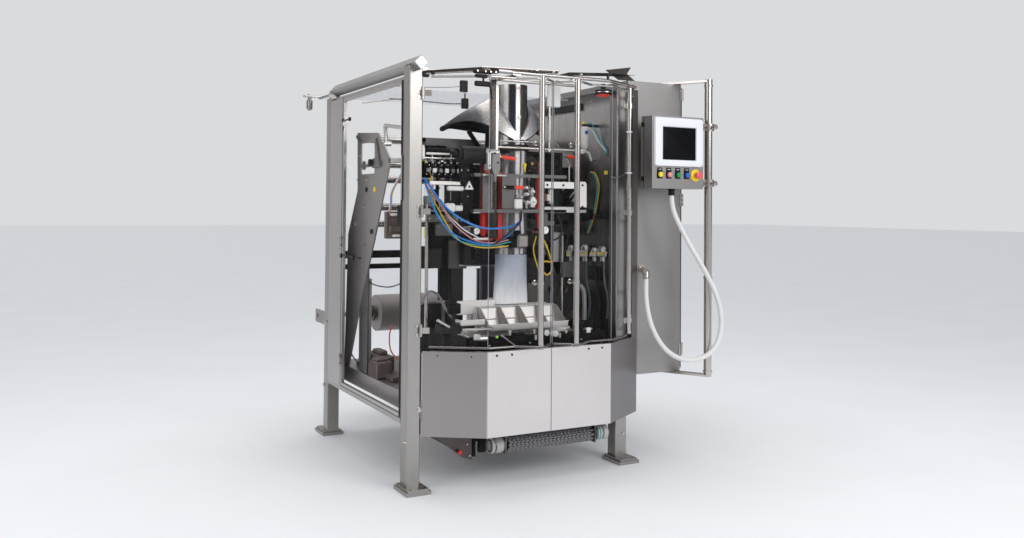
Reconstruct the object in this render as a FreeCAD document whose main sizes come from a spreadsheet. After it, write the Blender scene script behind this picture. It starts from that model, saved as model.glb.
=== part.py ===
import FreeCAD, Part
import math
import os
import re
import Sketcher
from FreeCAD import Placement, Rotation, Vector

# A vertical form fill seal machine: a square-tube frame with guard doors, a film
# unwind and roller cage at the back, a forming tube with its shoulder, the sealing
# jaws, a take-off conveyor, an electrical cabinet and a swivelling operator panel.
# Millimetres. X runs to the right, -Y to the front, Z up. The origin lies on the
# floor, midway between the four legs.

# Driving sizes, all in the sheet under these names
SIZES = {
    # frame of square tubes
    "frame_width": 1334,
    "frame_depth": 1314,
    "post_size": 76,
    "post_corner": 7,
    "front_post_below_beam": 8,
    "back_post_below_beam": 46,
    "right_post_top": 2090,
    "foot_width": 130,
    "foot_reach": 81,
    "foot_heel": 11,
    "pad_height": 18,
    "plate_height": 10,
    "plate_rim": 9,
    "anchor_radius": 7,
    "anchor_pitch": 74,
    "anchor_inset": 24,
    "beam_side": 50.8,
    "beam_height": 2114,
    "beam_overhang": 58,
    "beam_bend": 44,
    # bed, rails and side closing strip
    "bed_top": 442,
    "bed_depth": 92,
    "bed_sheet": 6,
    "chute_width": 420,
    "chute_length": 240,
    "rail_bottom": 322,
    "rail_height": 24,
    "rail_width": 25,
    "header_height": 20,
    "strip_thickness": 18,
    # front enclosure plan, from its left end round the two corners to its right end
    "guard_middle": 60,
    "guard_front_half": 370,
    "guard_overlap": 69,
    "guard_projection": 178,
    "skirt_bottom": 265,
    "skirt_top": 687,
    "skirt_sheet": 3,
    "skirt_flange": 28,
    # clear guard doors
    "door_bottom": 700,
    "door_top": 2060,
    "door_pane": 5,
    "door_gap": 8,
    "handle_radius": 15,
    "handle_from_middle": 106,
    "handle_standoff": 65,
    "handle_bottom": 696,
    "handle_top": 2064,
    "door_rod_radius": 6,
    "hinge_radius": 8,
    "hinge_rod_radius": 15,
    "hinge_rod_inset": 40,
    "hinge_rod_forward": 65,
    "hinge_clearance": 0.1,
    "knuckle_height": 30,
    "hanging_left": -178,
    "hanging_right": 178,
    "hanging_back": 57,
    "hanging_low": 1706,
    "hanging_high": 2086,
    "hanging_reach": 540,
    "roof_pane": 5,
    "roof_front": -90,
    # side door
    "side_door_back": 340,
    "side_door_rise": 350,
    "side_door_top": 2040,
    "side_door_bar": 18,
    "side_door_pane": 5,
    "side_hinge_gap": 10,
    # electrical cabinet
    "cabinet_width": 380,
    "cabinet_bottom": 470,
    "cabinet_top": 2124,
    "cabinet_depth": 1290,
    "cabinet_door": 20,
    "cabinet_rim": 20,
    "cabinet_corner": 6,
    "sheet_wall": 3,
    "liner_sheet": 3,
    # operator panel on its vertical tube
    "panel_tube_out": 440,
    "panel_tube_forward": 163,
    "panel_tube_radius": 22,
    "panel_width": 358,
    "panel_height": 398,
    "panel_depth": 95,
    "panel_bottom": 1514,
    "panel_gap": 58,
    "panel_forward": 213,
    "panel_corner": 5,
    "arm_thickness": 12,
    "arm_width": 50,
    "arm_root_out": 293,
    "hose_diameter": 27,
    "gland_from_tube": 265,
    "gland_radius": 19,
    "elbow_out": 99,
    "elbow_z": 1063,
    # forming tube, shoulder and film
    "tube_x": 62,
    "tube_y": -400,
    "tube_radius": 85,
    "tube_wall": 3,
    "tube_bottom": 1146,
    "tube_top": 2080,
    "collar_half": 329,
    "collar_tip_back": 220,
    "collar_heel_back": 300,
    "collar_low": 1768,
    "collar_tip_rise": 85,
    "collar_heel_rise": 67,
    "collar_rise": 312,
    "collar_bulge": 62,
    "collar_gap": 3.5,
    "collar_sheet": 3,
    "bag_bottom": 872,
    "bag_width": 214,
    "bag_depth": 60,
    # film unwind
    "roll_x": 48,
    "roll_y": 900,
    "roll_z": 695,
    "roll_radius": 120,
    "roll_width": 568,
    "core_radius": 38,
    "spindle_radius": 16,
    "unwind_arm": 12,
    "unwind_arm_height": 80,
    # roller cage
    "cage_inset": 6,
    "cage_post": 30,
    "cage_sheet": 8,
    "roller_radius": 22,
    "back_bar_depth": 40,
    "back_bar_low": 1010,
    "back_bar_high": 1078,
    # columns, head and jaws
    "column_size": 76,
    "column_from_centre": 252,
    "column_y": -200,
    "column_top": 1300,
    "head_top": 1700,
    "head_plate": 16,
    "head_depth": 330,
    "head_beam": 70,
    "belt_low": 1310,
    "belt_high": 1600,
    "belt_pulley": 36,
    "belt_width": 60,
    "belt_bracket": 24,
    "seal_forward": 112,
    "seal_low": 1375,
    "seal_high": 1567,
    "seal_bar": 18,
    "jaw_cover_width": 480,
    "jaw_cover_bottom": 757,
    "jaw_cover_top": 866,
    "jaw_cover_front": -612,
    "jaw_base_bottom": 640,
    "jaw_base_top": 742,
    "jaw_base_half": 420,
    "jaw_base_forward": 43,
    "jaw_base_wall": 20,
    "jaw_base_bar": 36,
    "jaw_rod_radius": 14,
    "jaw_rod_from_centre": 330,
    "jaw_rod_level": 712,
    "jaw_depth": 50,
    "jaw_gap": 12,
    "drive_cover_left": 258,
    "drive_cover_right": 563,
    "drive_cover_top": 1017,
    # take-off conveyor
    "conveyor_x": 129,
    "conveyor_width": 532,
    "conveyor_cap": 75,
    "conveyor_front": -745,
    "conveyor_back": -60,
    "conveyor_z": 190,
    "conveyor_radius": 41,
    "tray_left": -304,
}

document = FreeCAD.newDocument("form_fill_seal_machine")
sheet = document.addObject("Spreadsheet::Sheet", "Sizes")
for row, (alias, number) in enumerate(SIZES.items(), start=1):
    sheet.set("A%d" % row, alias)
    sheet.set("B%d" % row, str(number))
    sheet.setAlias("B%d" % row, alias)
document.recompute()

nodes = []


def size(alias):
    """One driving size, read back from the sheet."""
    return float(sheet.get(alias))


def formula(text):
    """A sum in the sheet's names, as the document's expression engine reads it."""
    return re.sub(r"[a-z][a-z_]*", lambda word: "Sizes." + word.group()
                  if word.group() in SIZES else word.group(), str(text))


def bind(item, **sums):
    """Ties properties of an object to the sheet. Double underscores stand for dots."""
    for name, text in sums.items():
        item.setExpression(name.replace("__", "."), formula(text))
    return item


def place(item, at):
    """Ties an object's position to three sums."""
    return bind(item, Placement__Base__x=at[0], Placement__Base__y=at[1], Placement__Base__z=at[2])


def box(name, extent, at):
    """A block from its low corner."""
    item = document.addObject("Part::Box", name)
    bind(item, Length=extent[0], Width=extent[1], Height=extent[2])
    return place(item, at)


TURNS = {"X": Rotation(Vector(0, 1, 0), 90), "Y": Rotation(Vector(1, 0, 0), -90), "Z": Rotation()}


def cylinder(name, radius, length, at, along="Z"):
    """A round bar from its start point."""
    item = document.addObject("Part::Cylinder", name)
    item.Placement = Placement(Vector(), TURNS[along])
    bind(item, Radius=radius, Height=length)
    return place(item, at)


def fuse(name, parts):
    """Several shapes welded into one."""
    item = document.addObject("Part::MultiFuse", name)
    item.Shapes = parts
    item.Refine = True
    return item


def cut(name, base, tools):
    """A shape less one or more others."""
    item = document.addObject("Part::Cut", name)
    item.Base = base
    item.Tool = tools[0] if len(tools) == 1 else group(name + "_tools", tools)
    return item


def rounded(name, base, radius, along="Z"):
    """The same shape with its edges along one axis rounded."""
    document.recompute()
    way = {"X": Vector(1, 0, 0), "Y": Vector(0, 1, 0), "Z": Vector(0, 0, 1)}[along]
    item = document.addObject("Part::Fillet", name)
    item.Base = base
    item.Edges = [(i + 1, size(radius), size(radius)) for i, edge in enumerate(base.Shape.Edges)
                  if edge.Curve.TypeId == "Part::GeomLine"
                  and abs(abs(edge.tangentAt(edge.FirstParameter) * way) - 1) < 1e-6]
    return item


def group(name, parts):
    """Separate solids kept together."""
    item = document.addObject("Part::Compound", name)
    item.Links = parts
    return item


def mirrored(name, source, normal, through=Vector()):
    """The mirror image of a shape."""
    item = document.addObject("Part::Mirroring", name)
    item.Source = source
    item.Normal = normal
    item.Base = through
    return item


def node(label, item):
    """Marks an object as one finished piece."""
    item.Label = label
    nodes.append(item)
    return item


PLANE_ROLE = {"XY": "XY_Plane", "XZ": "XZ_Plane", "YZ": "YZ_Plane"}


def origin_plane(body, plane):
    """One of a body's own origin planes."""
    return next(f for f in body.Origin.OriginFeatures if f.Role == PLANE_ROLE[plane])


def outline(body, plane, corners, offset="0"):
    """A closed sketch of straight sides whose corners are tied to the sheet."""
    sketch = body.newObject("Sketcher::SketchObject", body.Name + "_sketch")
    sketch.AttachmentSupport = [(origin_plane(body, plane), "")]
    sketch.MapMode = "FlatFace"
    bind(sketch, AttachmentOffset__Base__z=offset)
    count = len(corners)
    for i in range(count):
        angle = 2 * math.pi * i / count
        following = 2 * math.pi * (i + 1) / count
        sketch.addGeometry(Part.LineSegment(
            Vector(900 * math.cos(angle), 900 * math.sin(angle), 0),
            Vector(900 * math.cos(following), 900 * math.sin(following), 0)), False)
    for i in range(count):
        sketch.addConstraint(Sketcher.Constraint("Coincident", i, 2, (i + 1) % count, 1))
    for i, (across, up) in enumerate(corners):
        for kind, text in (("DistanceX", across), ("DistanceY", up)):
            index = sketch.addConstraint(Sketcher.Constraint(kind, -1, 1, i, 1, 1.0))
            sketch.renameConstraint(index, "%s_%d" % (kind.lower(), i))
            sketch.setExpression("Constraints.%s_%d" % (kind.lower(), i), formula(text))
    return sketch


def padded(name, plane, corners, length, offset="0"):
    """A body padded from an outline. XY pads up, XZ towards -Y, YZ towards +X."""
    body = document.addObject("PartDesign::Body", name)
    sketch = outline(body, plane, corners, offset)
    pad = body.newObject("PartDesign::Pad", name + "_pad")
    pad.Profile = sketch
    bind(pad, Length=length)
    body.Tip = pad
    return body


def feature(name, shape):
    """A shape worked out in this file from the sheet's sizes."""
    item = document.addObject("Part::Feature", name)
    item.Shape = shape
    return item


def rounded_path(points, bend=None):
    """A wire of straight runs and tangent arcs through hand-set points."""
    ends = [Vector(*p) for p in points]
    edges, start, radii = [], ends[0], []
    for before, corner, after in zip(ends, ends[1:], ends[2:]):
        come, go = (corner - before), (after - corner)
        shorter = min(come.Length, go.Length)
        turn = come.getAngle(go)
        radius = 0.45 * shorter / math.tan(turn / 2)
        if bend is not None:
            radius = min(radius, bend)
        back = radius * math.tan(turn / 2)
        come.normalize()
        go.normalize()
        first, last = corner - come * back, corner + go * back
        inward = go - come
        inward.normalize()
        middle = corner + inward * (radius / math.cos(turn / 2) - radius)
        edges.append(Part.LineSegment(start, first).toShape())
        edges.append(Part.Arc(first, middle, last).toShape())
        start = last
        radii.append(radius)
    edges.append(Part.LineSegment(start, ends[-1]).toShape())
    return Part.Wire(edges), radii


def swept(points, radius, bend=None):
    """A round bar or hose along a rounded path."""
    path, radii = rounded_path(points, bend)
    first = Vector(*points[1]) - Vector(*points[0])
    ring = Part.Wire([Part.Circle(Vector(*points[0]), first, radius).toShape()])
    solid = path.makePipeShell([ring], True, False)
    expected = math.pi * radius ** 2 * path.Length
    if abs(solid.Volume / expected - 1) > 0.02:
        raise ValueError("swept bar has the wrong volume")
    return solid, radii


# Sums that several pieces share
LEFT_FACE = "-frame_width / 2"
RIGHT_FACE = "frame_width / 2"
FRONT_FACE = "-frame_depth / 2"
BACK_FACE = "frame_depth / 2"
LEFT_INNER = "(-frame_width / 2 + post_size)"
RIGHT_INNER = "(frame_width / 2 - post_size)"
FRONT_INNER = "(-frame_depth / 2 + post_size)"
BACK_INNER = "(frame_depth / 2 - post_size)"
GUARD_FRONT = "(-frame_depth / 2 - guard_projection)"
GUARD_LEFT = LEFT_INNER
GUARD_RIGHT = "(frame_width / 2 + guard_overlap)"
CORNER_LEFT = "(guard_middle - guard_front_half)"
CORNER_RIGHT = "(guard_middle + guard_front_half)"
LEFT_LEAN = "atan(guard_projection / (%s - %s))" % (CORNER_LEFT, GUARD_LEFT)
RIGHT_LEAN = "atan(guard_projection / (%s - %s))" % (GUARD_RIGHT, CORNER_RIGHT)
HINGE_ROD_X = "(frame_width / 2 - hinge_rod_inset)"
HINGE_ROD_Y = "(-frame_depth / 2 - hinge_rod_forward)"
PANEL_TUBE_X = "(frame_width / 2 + panel_tube_out)"
PANEL_FRONT = "(-frame_depth / 2 - panel_forward)"
BACK_POST_TOP = "(beam_height - back_post_below_beam)"


def half_width():
    """Half of the frame's outside width."""
    return size("frame_width") / 2


def front():
    """The frame's front plane."""
    return -size("frame_depth") / 2


def guard_plan(side):
    """Numbers for one side of the guard's plan: its outer end and its bend, along X."""
    if side < 0:
        return -half_width() + size("post_size"), size("guard_middle") - size("guard_front_half")
    return half_width() + size("guard_overlap"), size("guard_middle") + size("guard_front_half")


def hinge_rod_place():
    return half_width() - size("hinge_rod_inset"), front() - size("hinge_rod_forward")


# Legs: a square tube welded on a stepped foot with two anchor holes
def leg(label, side, end, top, extra_cuts=()):
    """side is -1 left or 1 right, end is -1 front or 1 back."""
    post_x = LEFT_FACE if side < 0 else RIGHT_INNER
    post_y = FRONT_FACE if end < 0 else BACK_INNER
    middle_x = "(%d * (frame_width - post_size) / 2)" % side
    heel = "foot_reach" if end < 0 else "foot_heel"
    foot_length = "post_size + foot_reach + foot_heel"
    post = rounded(label + "_post", box(label + "_bar", ("post_size", "post_size", top + " - pad_height"),
                                        (post_x, post_y, "pad_height")), "post_corner")
    pad = box(label + "_pad", ("foot_width", foot_length, "pad_height"),
              (middle_x + " - foot_width / 2", post_y + " - " + heel, "0"))
    plate = box(label + "_plate",
                ("foot_width - 2 * plate_rim", foot_length + " - 2 * plate_rim", "plate_height"),
                (middle_x + " - foot_width / 2 + plate_rim", post_y + " - " + heel + " + plate_rim",
                 "pad_height"))
    hole_y = "%d * (frame_depth / 2 + foot_reach - anchor_inset)" % end
    holes = [cylinder("%s_anchor_%s" % (label, name), "anchor_radius", "pad_height + plate_height + 2",
                      ("%s %s anchor_pitch / 2" % (middle_x, sign), hole_y, "-1"))
             for name, sign in (("outer", "-"), ("inner", "+"))]
    return node(label, cut(label + "_cut", fuse(label + "_weld", [post, pad, plate]),
                           holes + list(extra_cuts)))


def diamond_prism(name, side, start, length):
    """A square bar standing on its corner, along Y."""
    body = document.addObject("PartDesign::Body", name)
    half = "%s * sqrt(2) / 2" % side
    middle = "(%s + post_size / 2)" % LEFT_FACE
    sketch = outline(body, "XZ", [(middle + " - " + half, "beam_height"),
                                  (middle, "beam_height - " + half),
                                  (middle + " + " + half, "beam_height"),
                                  (middle, "beam_height + " + half)], start)
    pad = body.newObject("PartDesign::Pad", name + "_pad")
    pad.Profile = sketch
    bind(pad, Length=length)
    pad.Reversed = True
    body.Tip = pad
    return body


saddle = diamond_prism("beam_saddle", "beam_side", "frame_depth / 2 + 10", "post_size + 20")
leg("leg_front_left", -1, -1, "beam_height - front_post_below_beam", [saddle])
leg("leg_front_right", 1, -1, "right_post_top")
leg("leg_back_left", -1, 1, BACK_POST_TOP)
leg("leg_back_right", 1, 1, "right_post_top")


# Top beam: the square bar on its corner, bent down on to the back post
def top_beam():
    middle = -size("frame_width") / 2 + size("post_size") / 2
    back = size("frame_depth") / 2 - size("post_size") / 2
    near = front() - size("beam_overhang")
    high = size("beam_height")
    path, _ = rounded_path([(middle, near, high), (middle, back, high),
                            (middle, back, high - size("back_post_below_beam"))], size("beam_bend"))
    half = size("beam_side") * math.sqrt(2) / 2
    corners = [Vector(middle + dx * half, near, high + dz * half)
               for dx, dz in ((-1, 0), (0, -1), (1, 0), (0, 1), (-1, 0))]
    return path.makePipeShell([Part.makePolygon(corners)], True, False)


node("top_beam", feature("beam_sweep", top_beam()))

node("side_rails", group("side_rail_pair", [
    box("header_bar", ("rail_width", "frame_depth - 2 * post_size", "header_height"),
        (LEFT_FACE + " + post_size / 2 - rail_width / 2", FRONT_INNER,
         BACK_POST_TOP + " - header_height - 2")),
    box("bottom_bar", ("rail_width", "frame_depth - 2 * post_size", "rail_height"),
        (LEFT_FACE, FRONT_INNER, "rail_bottom"))]))

# Bed: a folded deck between the legs with the product opening under the jaws
bed_block = box("bed_block", ("frame_width - 2 * post_size", "frame_depth", "bed_depth"),
                (LEFT_INNER, FRONT_FACE, "bed_top - bed_depth"))
bed_hollow = box("bed_hollow", ("frame_width - 2 * post_size - 2 * bed_sheet", "frame_depth - 2 * bed_sheet",
                                "bed_depth"),
                 (LEFT_INNER + " + bed_sheet", FRONT_FACE + " + bed_sheet",
                  "bed_top - bed_depth - bed_sheet"))
bed_chute = box("bed_chute", ("chute_width", "chute_length", "bed_depth"),
                ("tube_x - chute_width / 2", "tube_y - chute_length / 2", "bed_top - bed_depth / 2"))
node("bed", cut("bed_sheet_metal", bed_block, [bed_hollow, bed_chute]))

# Strip that closes the left side behind its door, with the hinge knuckles
STRIP_FRONT = "(side_door_back + side_hinge_gap)"
HINGE_X = "(-frame_width / 2 - hinge_radius + 1)"
HINGE_Y = "(side_door_back + side_hinge_gap / 2)"
SIDE_HINGES = ("side_door_rise + 150", "(side_door_rise + side_door_top) / 2", "side_door_top - 150")


def knuckle(name, z, height, x=HINGE_X, y=HINGE_Y):
    return cylinder(name, "hinge_radius", height, (x, y, z))


strip_parts = [box("strip_sheet", ("strip_thickness", BACK_INNER + " - " + STRIP_FRONT,
                                   BACK_POST_TOP + " - header_height - 2 - rail_bottom - rail_height"),
                   (LEFT_FACE, STRIP_FRONT, "rail_bottom + rail_height"))]
for i, height in enumerate(SIDE_HINGES):
    for part, low in (("low", height + " - knuckle_height"), ("high", height + " + knuckle_height / 2")):
        strip_parts.append(knuckle("strip_knuckle_%s_%d" % (part, i), low, "knuckle_height / 2 - 0.5"))
        strip_parts.append(box("strip_leaf_%s_%d" % (part, i), ("hinge_radius", "side_hinge_gap / 2 + 20",
                                                               "knuckle_height / 2 - 0.5"),
                               (LEFT_FACE + " - hinge_radius + 1", HINGE_Y, low)))
node("side_strip", fuse("strip_weld", strip_parts))

# Side door: four slim bars round a clear pane
DOOR_FRONT = "(%s + 5)" % FRONT_INNER
bar = "side_door_bar"
door_length = "(side_door_back - %s - 5)" % FRONT_INNER
door_height = "(side_door_top - side_door_rise)"
door_parts = [
    box("door_bar_front", (bar, bar, door_height), (LEFT_FACE, DOOR_FRONT, "side_door_rise")),
    box("door_bar_back", (bar, bar, door_height), (LEFT_FACE, "side_door_back - side_door_bar",
                                                   "side_door_rise")),
    box("door_bar_low", (bar, door_length, bar), (LEFT_FACE, DOOR_FRONT, "side_door_rise")),
    box("door_bar_high", (bar, door_length, bar), (LEFT_FACE, DOOR_FRONT, "side_door_top - side_door_bar")),
]
for i, height in enumerate(SIDE_HINGES):
    low = height + " - knuckle_height / 2 + 0.5"
    door_parts.append(knuckle("door_knuckle_%d" % i, low, "knuckle_height - 1"))
    leaf_size = ("hinge_radius", "side_hinge_gap / 2 + 16", "knuckle_height - 1")
    door_parts.append(box("door_leaf_%d" % i, leaf_size,
                          (LEFT_FACE + " - hinge_radius + 1", "side_door_back - 16", low)))
node("side_door_frame", fuse("side_door_weld", door_parts))
node("side_door_pane", box("side_pane", ("side_door_pane", door_length + " - 2 * side_door_bar",
                                         door_height + " - 2 * side_door_bar"),
                           (LEFT_FACE + " + side_door_bar / 2 - side_door_pane / 2",
                            DOOR_FRONT + " + side_door_bar", "side_door_rise + side_door_bar")))


# Front enclosure: bent sheets that share one plan
def bent_strip(side, thickness, inset="0", start="0", finish="0"):
    """Plan corners of a sheet with one bend, from its outer end to the middle line.

    inset moves the sheet inwards, start and finish shorten its two ends."""
    lean = LEFT_LEAN if side < 0 else RIGHT_LEAN
    end = GUARD_LEFT if side < 0 else GUARD_RIGHT
    corner = CORNER_LEFT if side < 0 else CORNER_RIGHT
    sign = "-" if side < 0 else "+"
    mitre = "tan(%s / 2)" % lean

    def end_point(depth):
        return ("%s - (%d) * ((%s) * sin(%s) + (%s) * cos(%s))" % (end, side, depth, lean, start, lean),
                "%s + (%s) * cos(%s) - (%s) * sin(%s)" % (FRONT_FACE, depth, lean, start, lean))

    def corner_point(depth):
        return ("%s - (%d) * (%s) * %s" % (corner, side, depth, mitre), "%s + (%s)" % (GUARD_FRONT, depth))

    def middle_point(depth):
        return ("guard_middle %s (%s)" % (sign, finish), "%s + (%s)" % (GUARD_FRONT, depth))

    inner = "%s + %s" % (inset, thickness)
    return [end_point(inset), corner_point(inset), middle_point(inset),
            middle_point(inner), corner_point(inner), end_point(inner)]


# The skirt's ends turn on to tabs: on the left leg's inner face and on the cabinet's front
for label, side in (("skirt_left", -1), ("skirt_right", 1)):
    lean = LEFT_LEAN if side < 0 else RIGHT_LEAN
    wall_start = "skirt_sheet / tan(%s) + 1" % lean
    flange_start = "skirt_flange / tan(%s) + 1" % lean
    folds = [padded(label + "_wall", "XY", bent_strip(side, "skirt_sheet", start=wall_start, finish="1"),
                    "skirt_top - skirt_bottom", "skirt_bottom"),
             padded(label + "_rim", "XY", bent_strip(side, "skirt_flange", start=flange_start, finish="1"),
                    "skirt_sheet", "skirt_top - skirt_sheet"),
             padded(label + "_toe", "XY", bent_strip(side, "skirt_flange", start=flange_start, finish="1"),
                    "skirt_sheet", "skirt_bottom")]
    if side < 0:
        for name, low, high in (("low", "skirt_bottom + 10", "bed_top - bed_depth - 2"),
                                ("high", "bed_top + 2", "skirt_top - 10")):
            folds.append(box("skirt_tab_" + name, ("10", "62", "%s - (%s)" % (high, low)),
                             (GUARD_LEFT + " + 0.3", FRONT_FACE + " - 5", low)))
    else:
        folds.append(box("skirt_tab_right", ("62", "skirt_sheet + 4", "skirt_top - cabinet_bottom - 20"),
                         (GUARD_RIGHT + " - 64", FRONT_FACE + " - skirt_sheet - 4.3", "cabinet_bottom + 10")))
    node(label, fuse(label + "_folded", folds))

# Clear guard doors, each bent once, with rods, a bar handle and its hinge
for label, side in (("guard_door_left", -1), ("guard_door_right", 1)):
    start = "26" if side < 0 else "sqrt((guard_overlap + hinge_rod_inset)^2 + hinge_rod_forward^2) + 26"
    pane = padded(label + "_sheet", "XY",
                  bent_strip(side, "door_pane", start=start, finish="door_gap / 2"),
                  "door_top - door_bottom", "door_bottom")
    node(label + "_pane", pane)


def plan_point(side, along_end, out):
    """A plan point in front of the enclosure's slanted face.

    along_end is measured from its outer end, out is how far it stands off."""
    end, corner = guard_plan(side)
    run = abs(corner - end)
    lean = math.atan2(size("guard_projection"), run)
    return (end - side * (along_end * math.cos(lean) - out * math.sin(lean)),
            front() - along_end * math.sin(lean) - out * math.cos(lean))


def corner_out(side, out):
    """The bend's plan point, standing off from the faces."""
    end, corner = guard_plan(side)
    lean = math.atan2(size("guard_projection"), abs(corner - end))
    return (corner + side * out * math.tan(lean / 2),
            -size("frame_depth") / 2 - size("guard_projection") - out)


def guard_rods(side):
    """Top and bottom rods that bow out to the bar handle, and the handle itself."""
    rod = size("door_rod_radius")
    face = -size("frame_depth") / 2 - size("guard_projection")
    handle_x = size("guard_middle") + side * size("handle_from_middle")
    handle_y = face - size("handle_standoff")
    slant_start = 40 if side < 0 else 40 + math.hypot(
        size("guard_overlap") + size("hinge_rod_inset"), size("hinge_rod_forward"))
    start = plan_point(side, slant_start, rod)
    corner = corner_out(side, rod)
    near_middle = size("guard_middle") + side * (size("door_gap") / 2 + 4)
    solids = []
    for level in (size("handle_bottom") + 12, size("handle_top") - 12):
        route = [(start[0], start[1], level), (corner[0], corner[1], level),
                 (handle_x + side * 120, face - rod, level), (handle_x + side * 30, handle_y, level),
                 (handle_x - side * 30, handle_y, level), (near_middle, face - rod, level)]
        solids.append(swept(route, rod, 24)[0])
    length = size("handle_top") - size("handle_bottom")
    bar_handle = Part.makeCylinder(size("handle_radius"), length,
                                   Vector(handle_x, handle_y, size("handle_bottom")))
    solids.append(bar_handle)
    standoff_z = size("handle_bottom") + 0.24 * length
    solids.append(Part.makeCylinder(8, size("handle_standoff"), Vector(handle_x, face, standoff_z),
                                    Vector(0, -1, 0)))
    return solids


def guard_hinge_parts(side):
    """Door knuckles and leaves at three heights, and the axis they turn about."""
    low, high = size("door_bottom"), size("door_top")
    heights = [low + 90, (low + high) / 2, high - 90]
    tall = size("knuckle_height")
    solids = []
    if side < 0:
        axis = (guard_plan(side)[0] - 6, front() - size("hinge_radius") - 3)
        ring, bore = size("hinge_radius"), 4 + size("hinge_clearance")
        reach = plan_point(side, 42, 2)
    else:
        axis = hinge_rod_place()
        ring = size("hinge_rod_radius") + size("hinge_clearance") + 5
        bore = size("hinge_rod_radius") + size("hinge_clearance")
        reach = plan_point(side, math.hypot(size("guard_overlap") + size("hinge_rod_inset"),
                                            size("hinge_rod_forward")) + 64, 2)
    for height in heights:
        base = height - tall / 2 + 0.5
        eye = Part.makeCylinder(ring, tall - 1, Vector(axis[0], axis[1], base))
        direction = Vector(reach[0] - axis[0], reach[1] - axis[1], 0)
        leaf = Part.makeBox(direction.Length, 4, tall - 1)
        angle = math.degrees(math.atan2(direction.y, direction.x))
        leaf.translate(Vector(0, -2, 0))
        leaf.rotate(Vector(), Vector(0, 0, 1), angle)
        leaf.translate(Vector(axis[0], axis[1], base))
        hole = Part.makeCylinder(bore, tall, Vector(axis[0], axis[1], base - 0.5))
        solids.append(eye.fuse(leaf).cut(hole))
    return solids, axis, heights


def welded(solids):
    """One solid from several that meet."""
    return solids[0].multiFuse(solids[1:]).removeSplitter()


guard_hinges = {}
for label, side in (("guard_door_left", -1), ("guard_door_right", 1)):
    knuckles, axis, heights = guard_hinge_parts(side)
    guard_hinges[side] = (axis, heights)
    pane_shape = next(n for n in nodes if n.Label == label + "_pane")
    document.recompute()
    trimmed = Part.makeCompound([s.cut(pane_shape.Shape) for s in guard_rods(side) + knuckles])
    node(label + "_rods", feature(label + "_metal", welded(list(trimmed.Solids))))

# Fixed halves of the guard hinges: pins on the front left post
def left_hinge_mounts():
    axis, heights = guard_hinges[-1]
    tall = size("knuckle_height")
    solids = []
    for height in heights:
        pin = Part.makeCylinder(4, 2 * tall, Vector(axis[0], axis[1], height - tall))
        for base in (height - tall, height + tall / 2):
            eye = Part.makeCylinder(size("hinge_radius"), tall / 2, Vector(axis[0], axis[1], base))
            leaf = Part.makeBox(22, 3, tall / 2, Vector(axis[0] - 22, front() - 3, base))
            web = Part.makeBox(6, size("hinge_radius") + 3, tall / 2, Vector(axis[0] - 6, axis[1], base))
            pin = pin.fuse([eye, leaf, web])
        solids.append(pin.removeSplitter())
    return Part.makeCompound(solids)


node("guard_hinges_left", feature("left_hinge_mounts", left_hinge_mounts()))

# Hinge rod of the right door on four brackets, and the narrow fixed strip beside it
fixed_strip = padded("fixed_strip", "XY", [
    (GUARD_RIGHT, FRONT_FACE + " - 0.3"),
    (HINGE_ROD_X + " + 40", HINGE_ROD_Y + " + 23"),
    (HINGE_ROD_X + " + 43", HINGE_ROD_Y + " + 28"),
    (GUARD_RIGHT + " - 4", FRONT_FACE + " - 0.3"),
], "door_top - skirt_top + 8", "skirt_top + 0.3")
node("guard_strip_right", fixed_strip)
document.recompute()


def hinge_rod():
    x, y = hinge_rod_place()
    radius = size("hinge_rod_radius")
    low, high = size("door_bottom") + 14, size("door_top") + 10
    rod = Part.makeCylinder(radius, high - low, Vector(x, y, low))
    for height in (low + 10, low + 0.16 * (high - low), 0.5 * (low + high) - 60, high - 40):
        arm = Part.makeCylinder(7, 46, Vector(x, y, height), Vector(40, 23, 0))
        rod = rod.fuse(arm)
    return rod.cut(next(n for n in nodes if n.Label == "guard_strip_right").Shape).Solids[0]


node("guard_hinge_rod", feature("hinge_rod", hinge_rod()))


# Fixed top rail of the guard, from a clamp on the front left post to one on the cabinet
def top_rail():
    radius, out = 9.0, -14.0
    level = size("door_top") + 24
    left, right = -half_width() + size("post_size"), half_width() + size("guard_overlap") - 30
    points = [(left + 12, front() + 20, level)]
    for side in (-1, 1):
        corner = corner_out(side, out)
        points.append((corner[0], corner[1], level))
    points.append((right, front() - 16, level))
    bar = swept(points, radius, 60)[0]
    clamps = [Part.makeBox(24, 30, 30, Vector(left + 0.3, front() + 6, level - 15)),
              Part.makeBox(30, 26, 30, Vector(right - 18, front() - 26.3, level - 15))]
    return welded([bar] + clamps)


node("guard_top_rail", feature("top_rail", top_rail()))


# Dark cover sheet that lies over the right half of the guard, with a notched end
def roof_sheet():
    level = size("door_top") + 46
    right = half_width()
    near, far = front() - size("guard_projection") + 5, front() - 60
    middle = (near + far) / 2
    plan = [(160, near), (430, near), (right - 70, near + 70), (right - 40, near + 60),
            (right - 92, middle + 22), (right - 34, far + 6), (right - 90, far), (160, far)]
    outline_points = [Vector(x, y, level) for x, y in plan]
    sheet_solid = Part.Face(Part.makePolygon(outline_points + outline_points[:1])).extrude(Vector(0, 0, 3))
    sheet_solid.rotate(Vector(160, near, level), Vector(0, 1, 0), -3.5)
    feet = [Part.makeCylinder(7, 14 + rise, Vector(x, y, level - 12.7))
            for x, y, rise in ((180, near + 8, 0), (410, near + 8, 14))]
    return welded([sheet_solid] + feet)


node("roof_sheet", feature("roof_cover", roof_sheet()))

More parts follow.
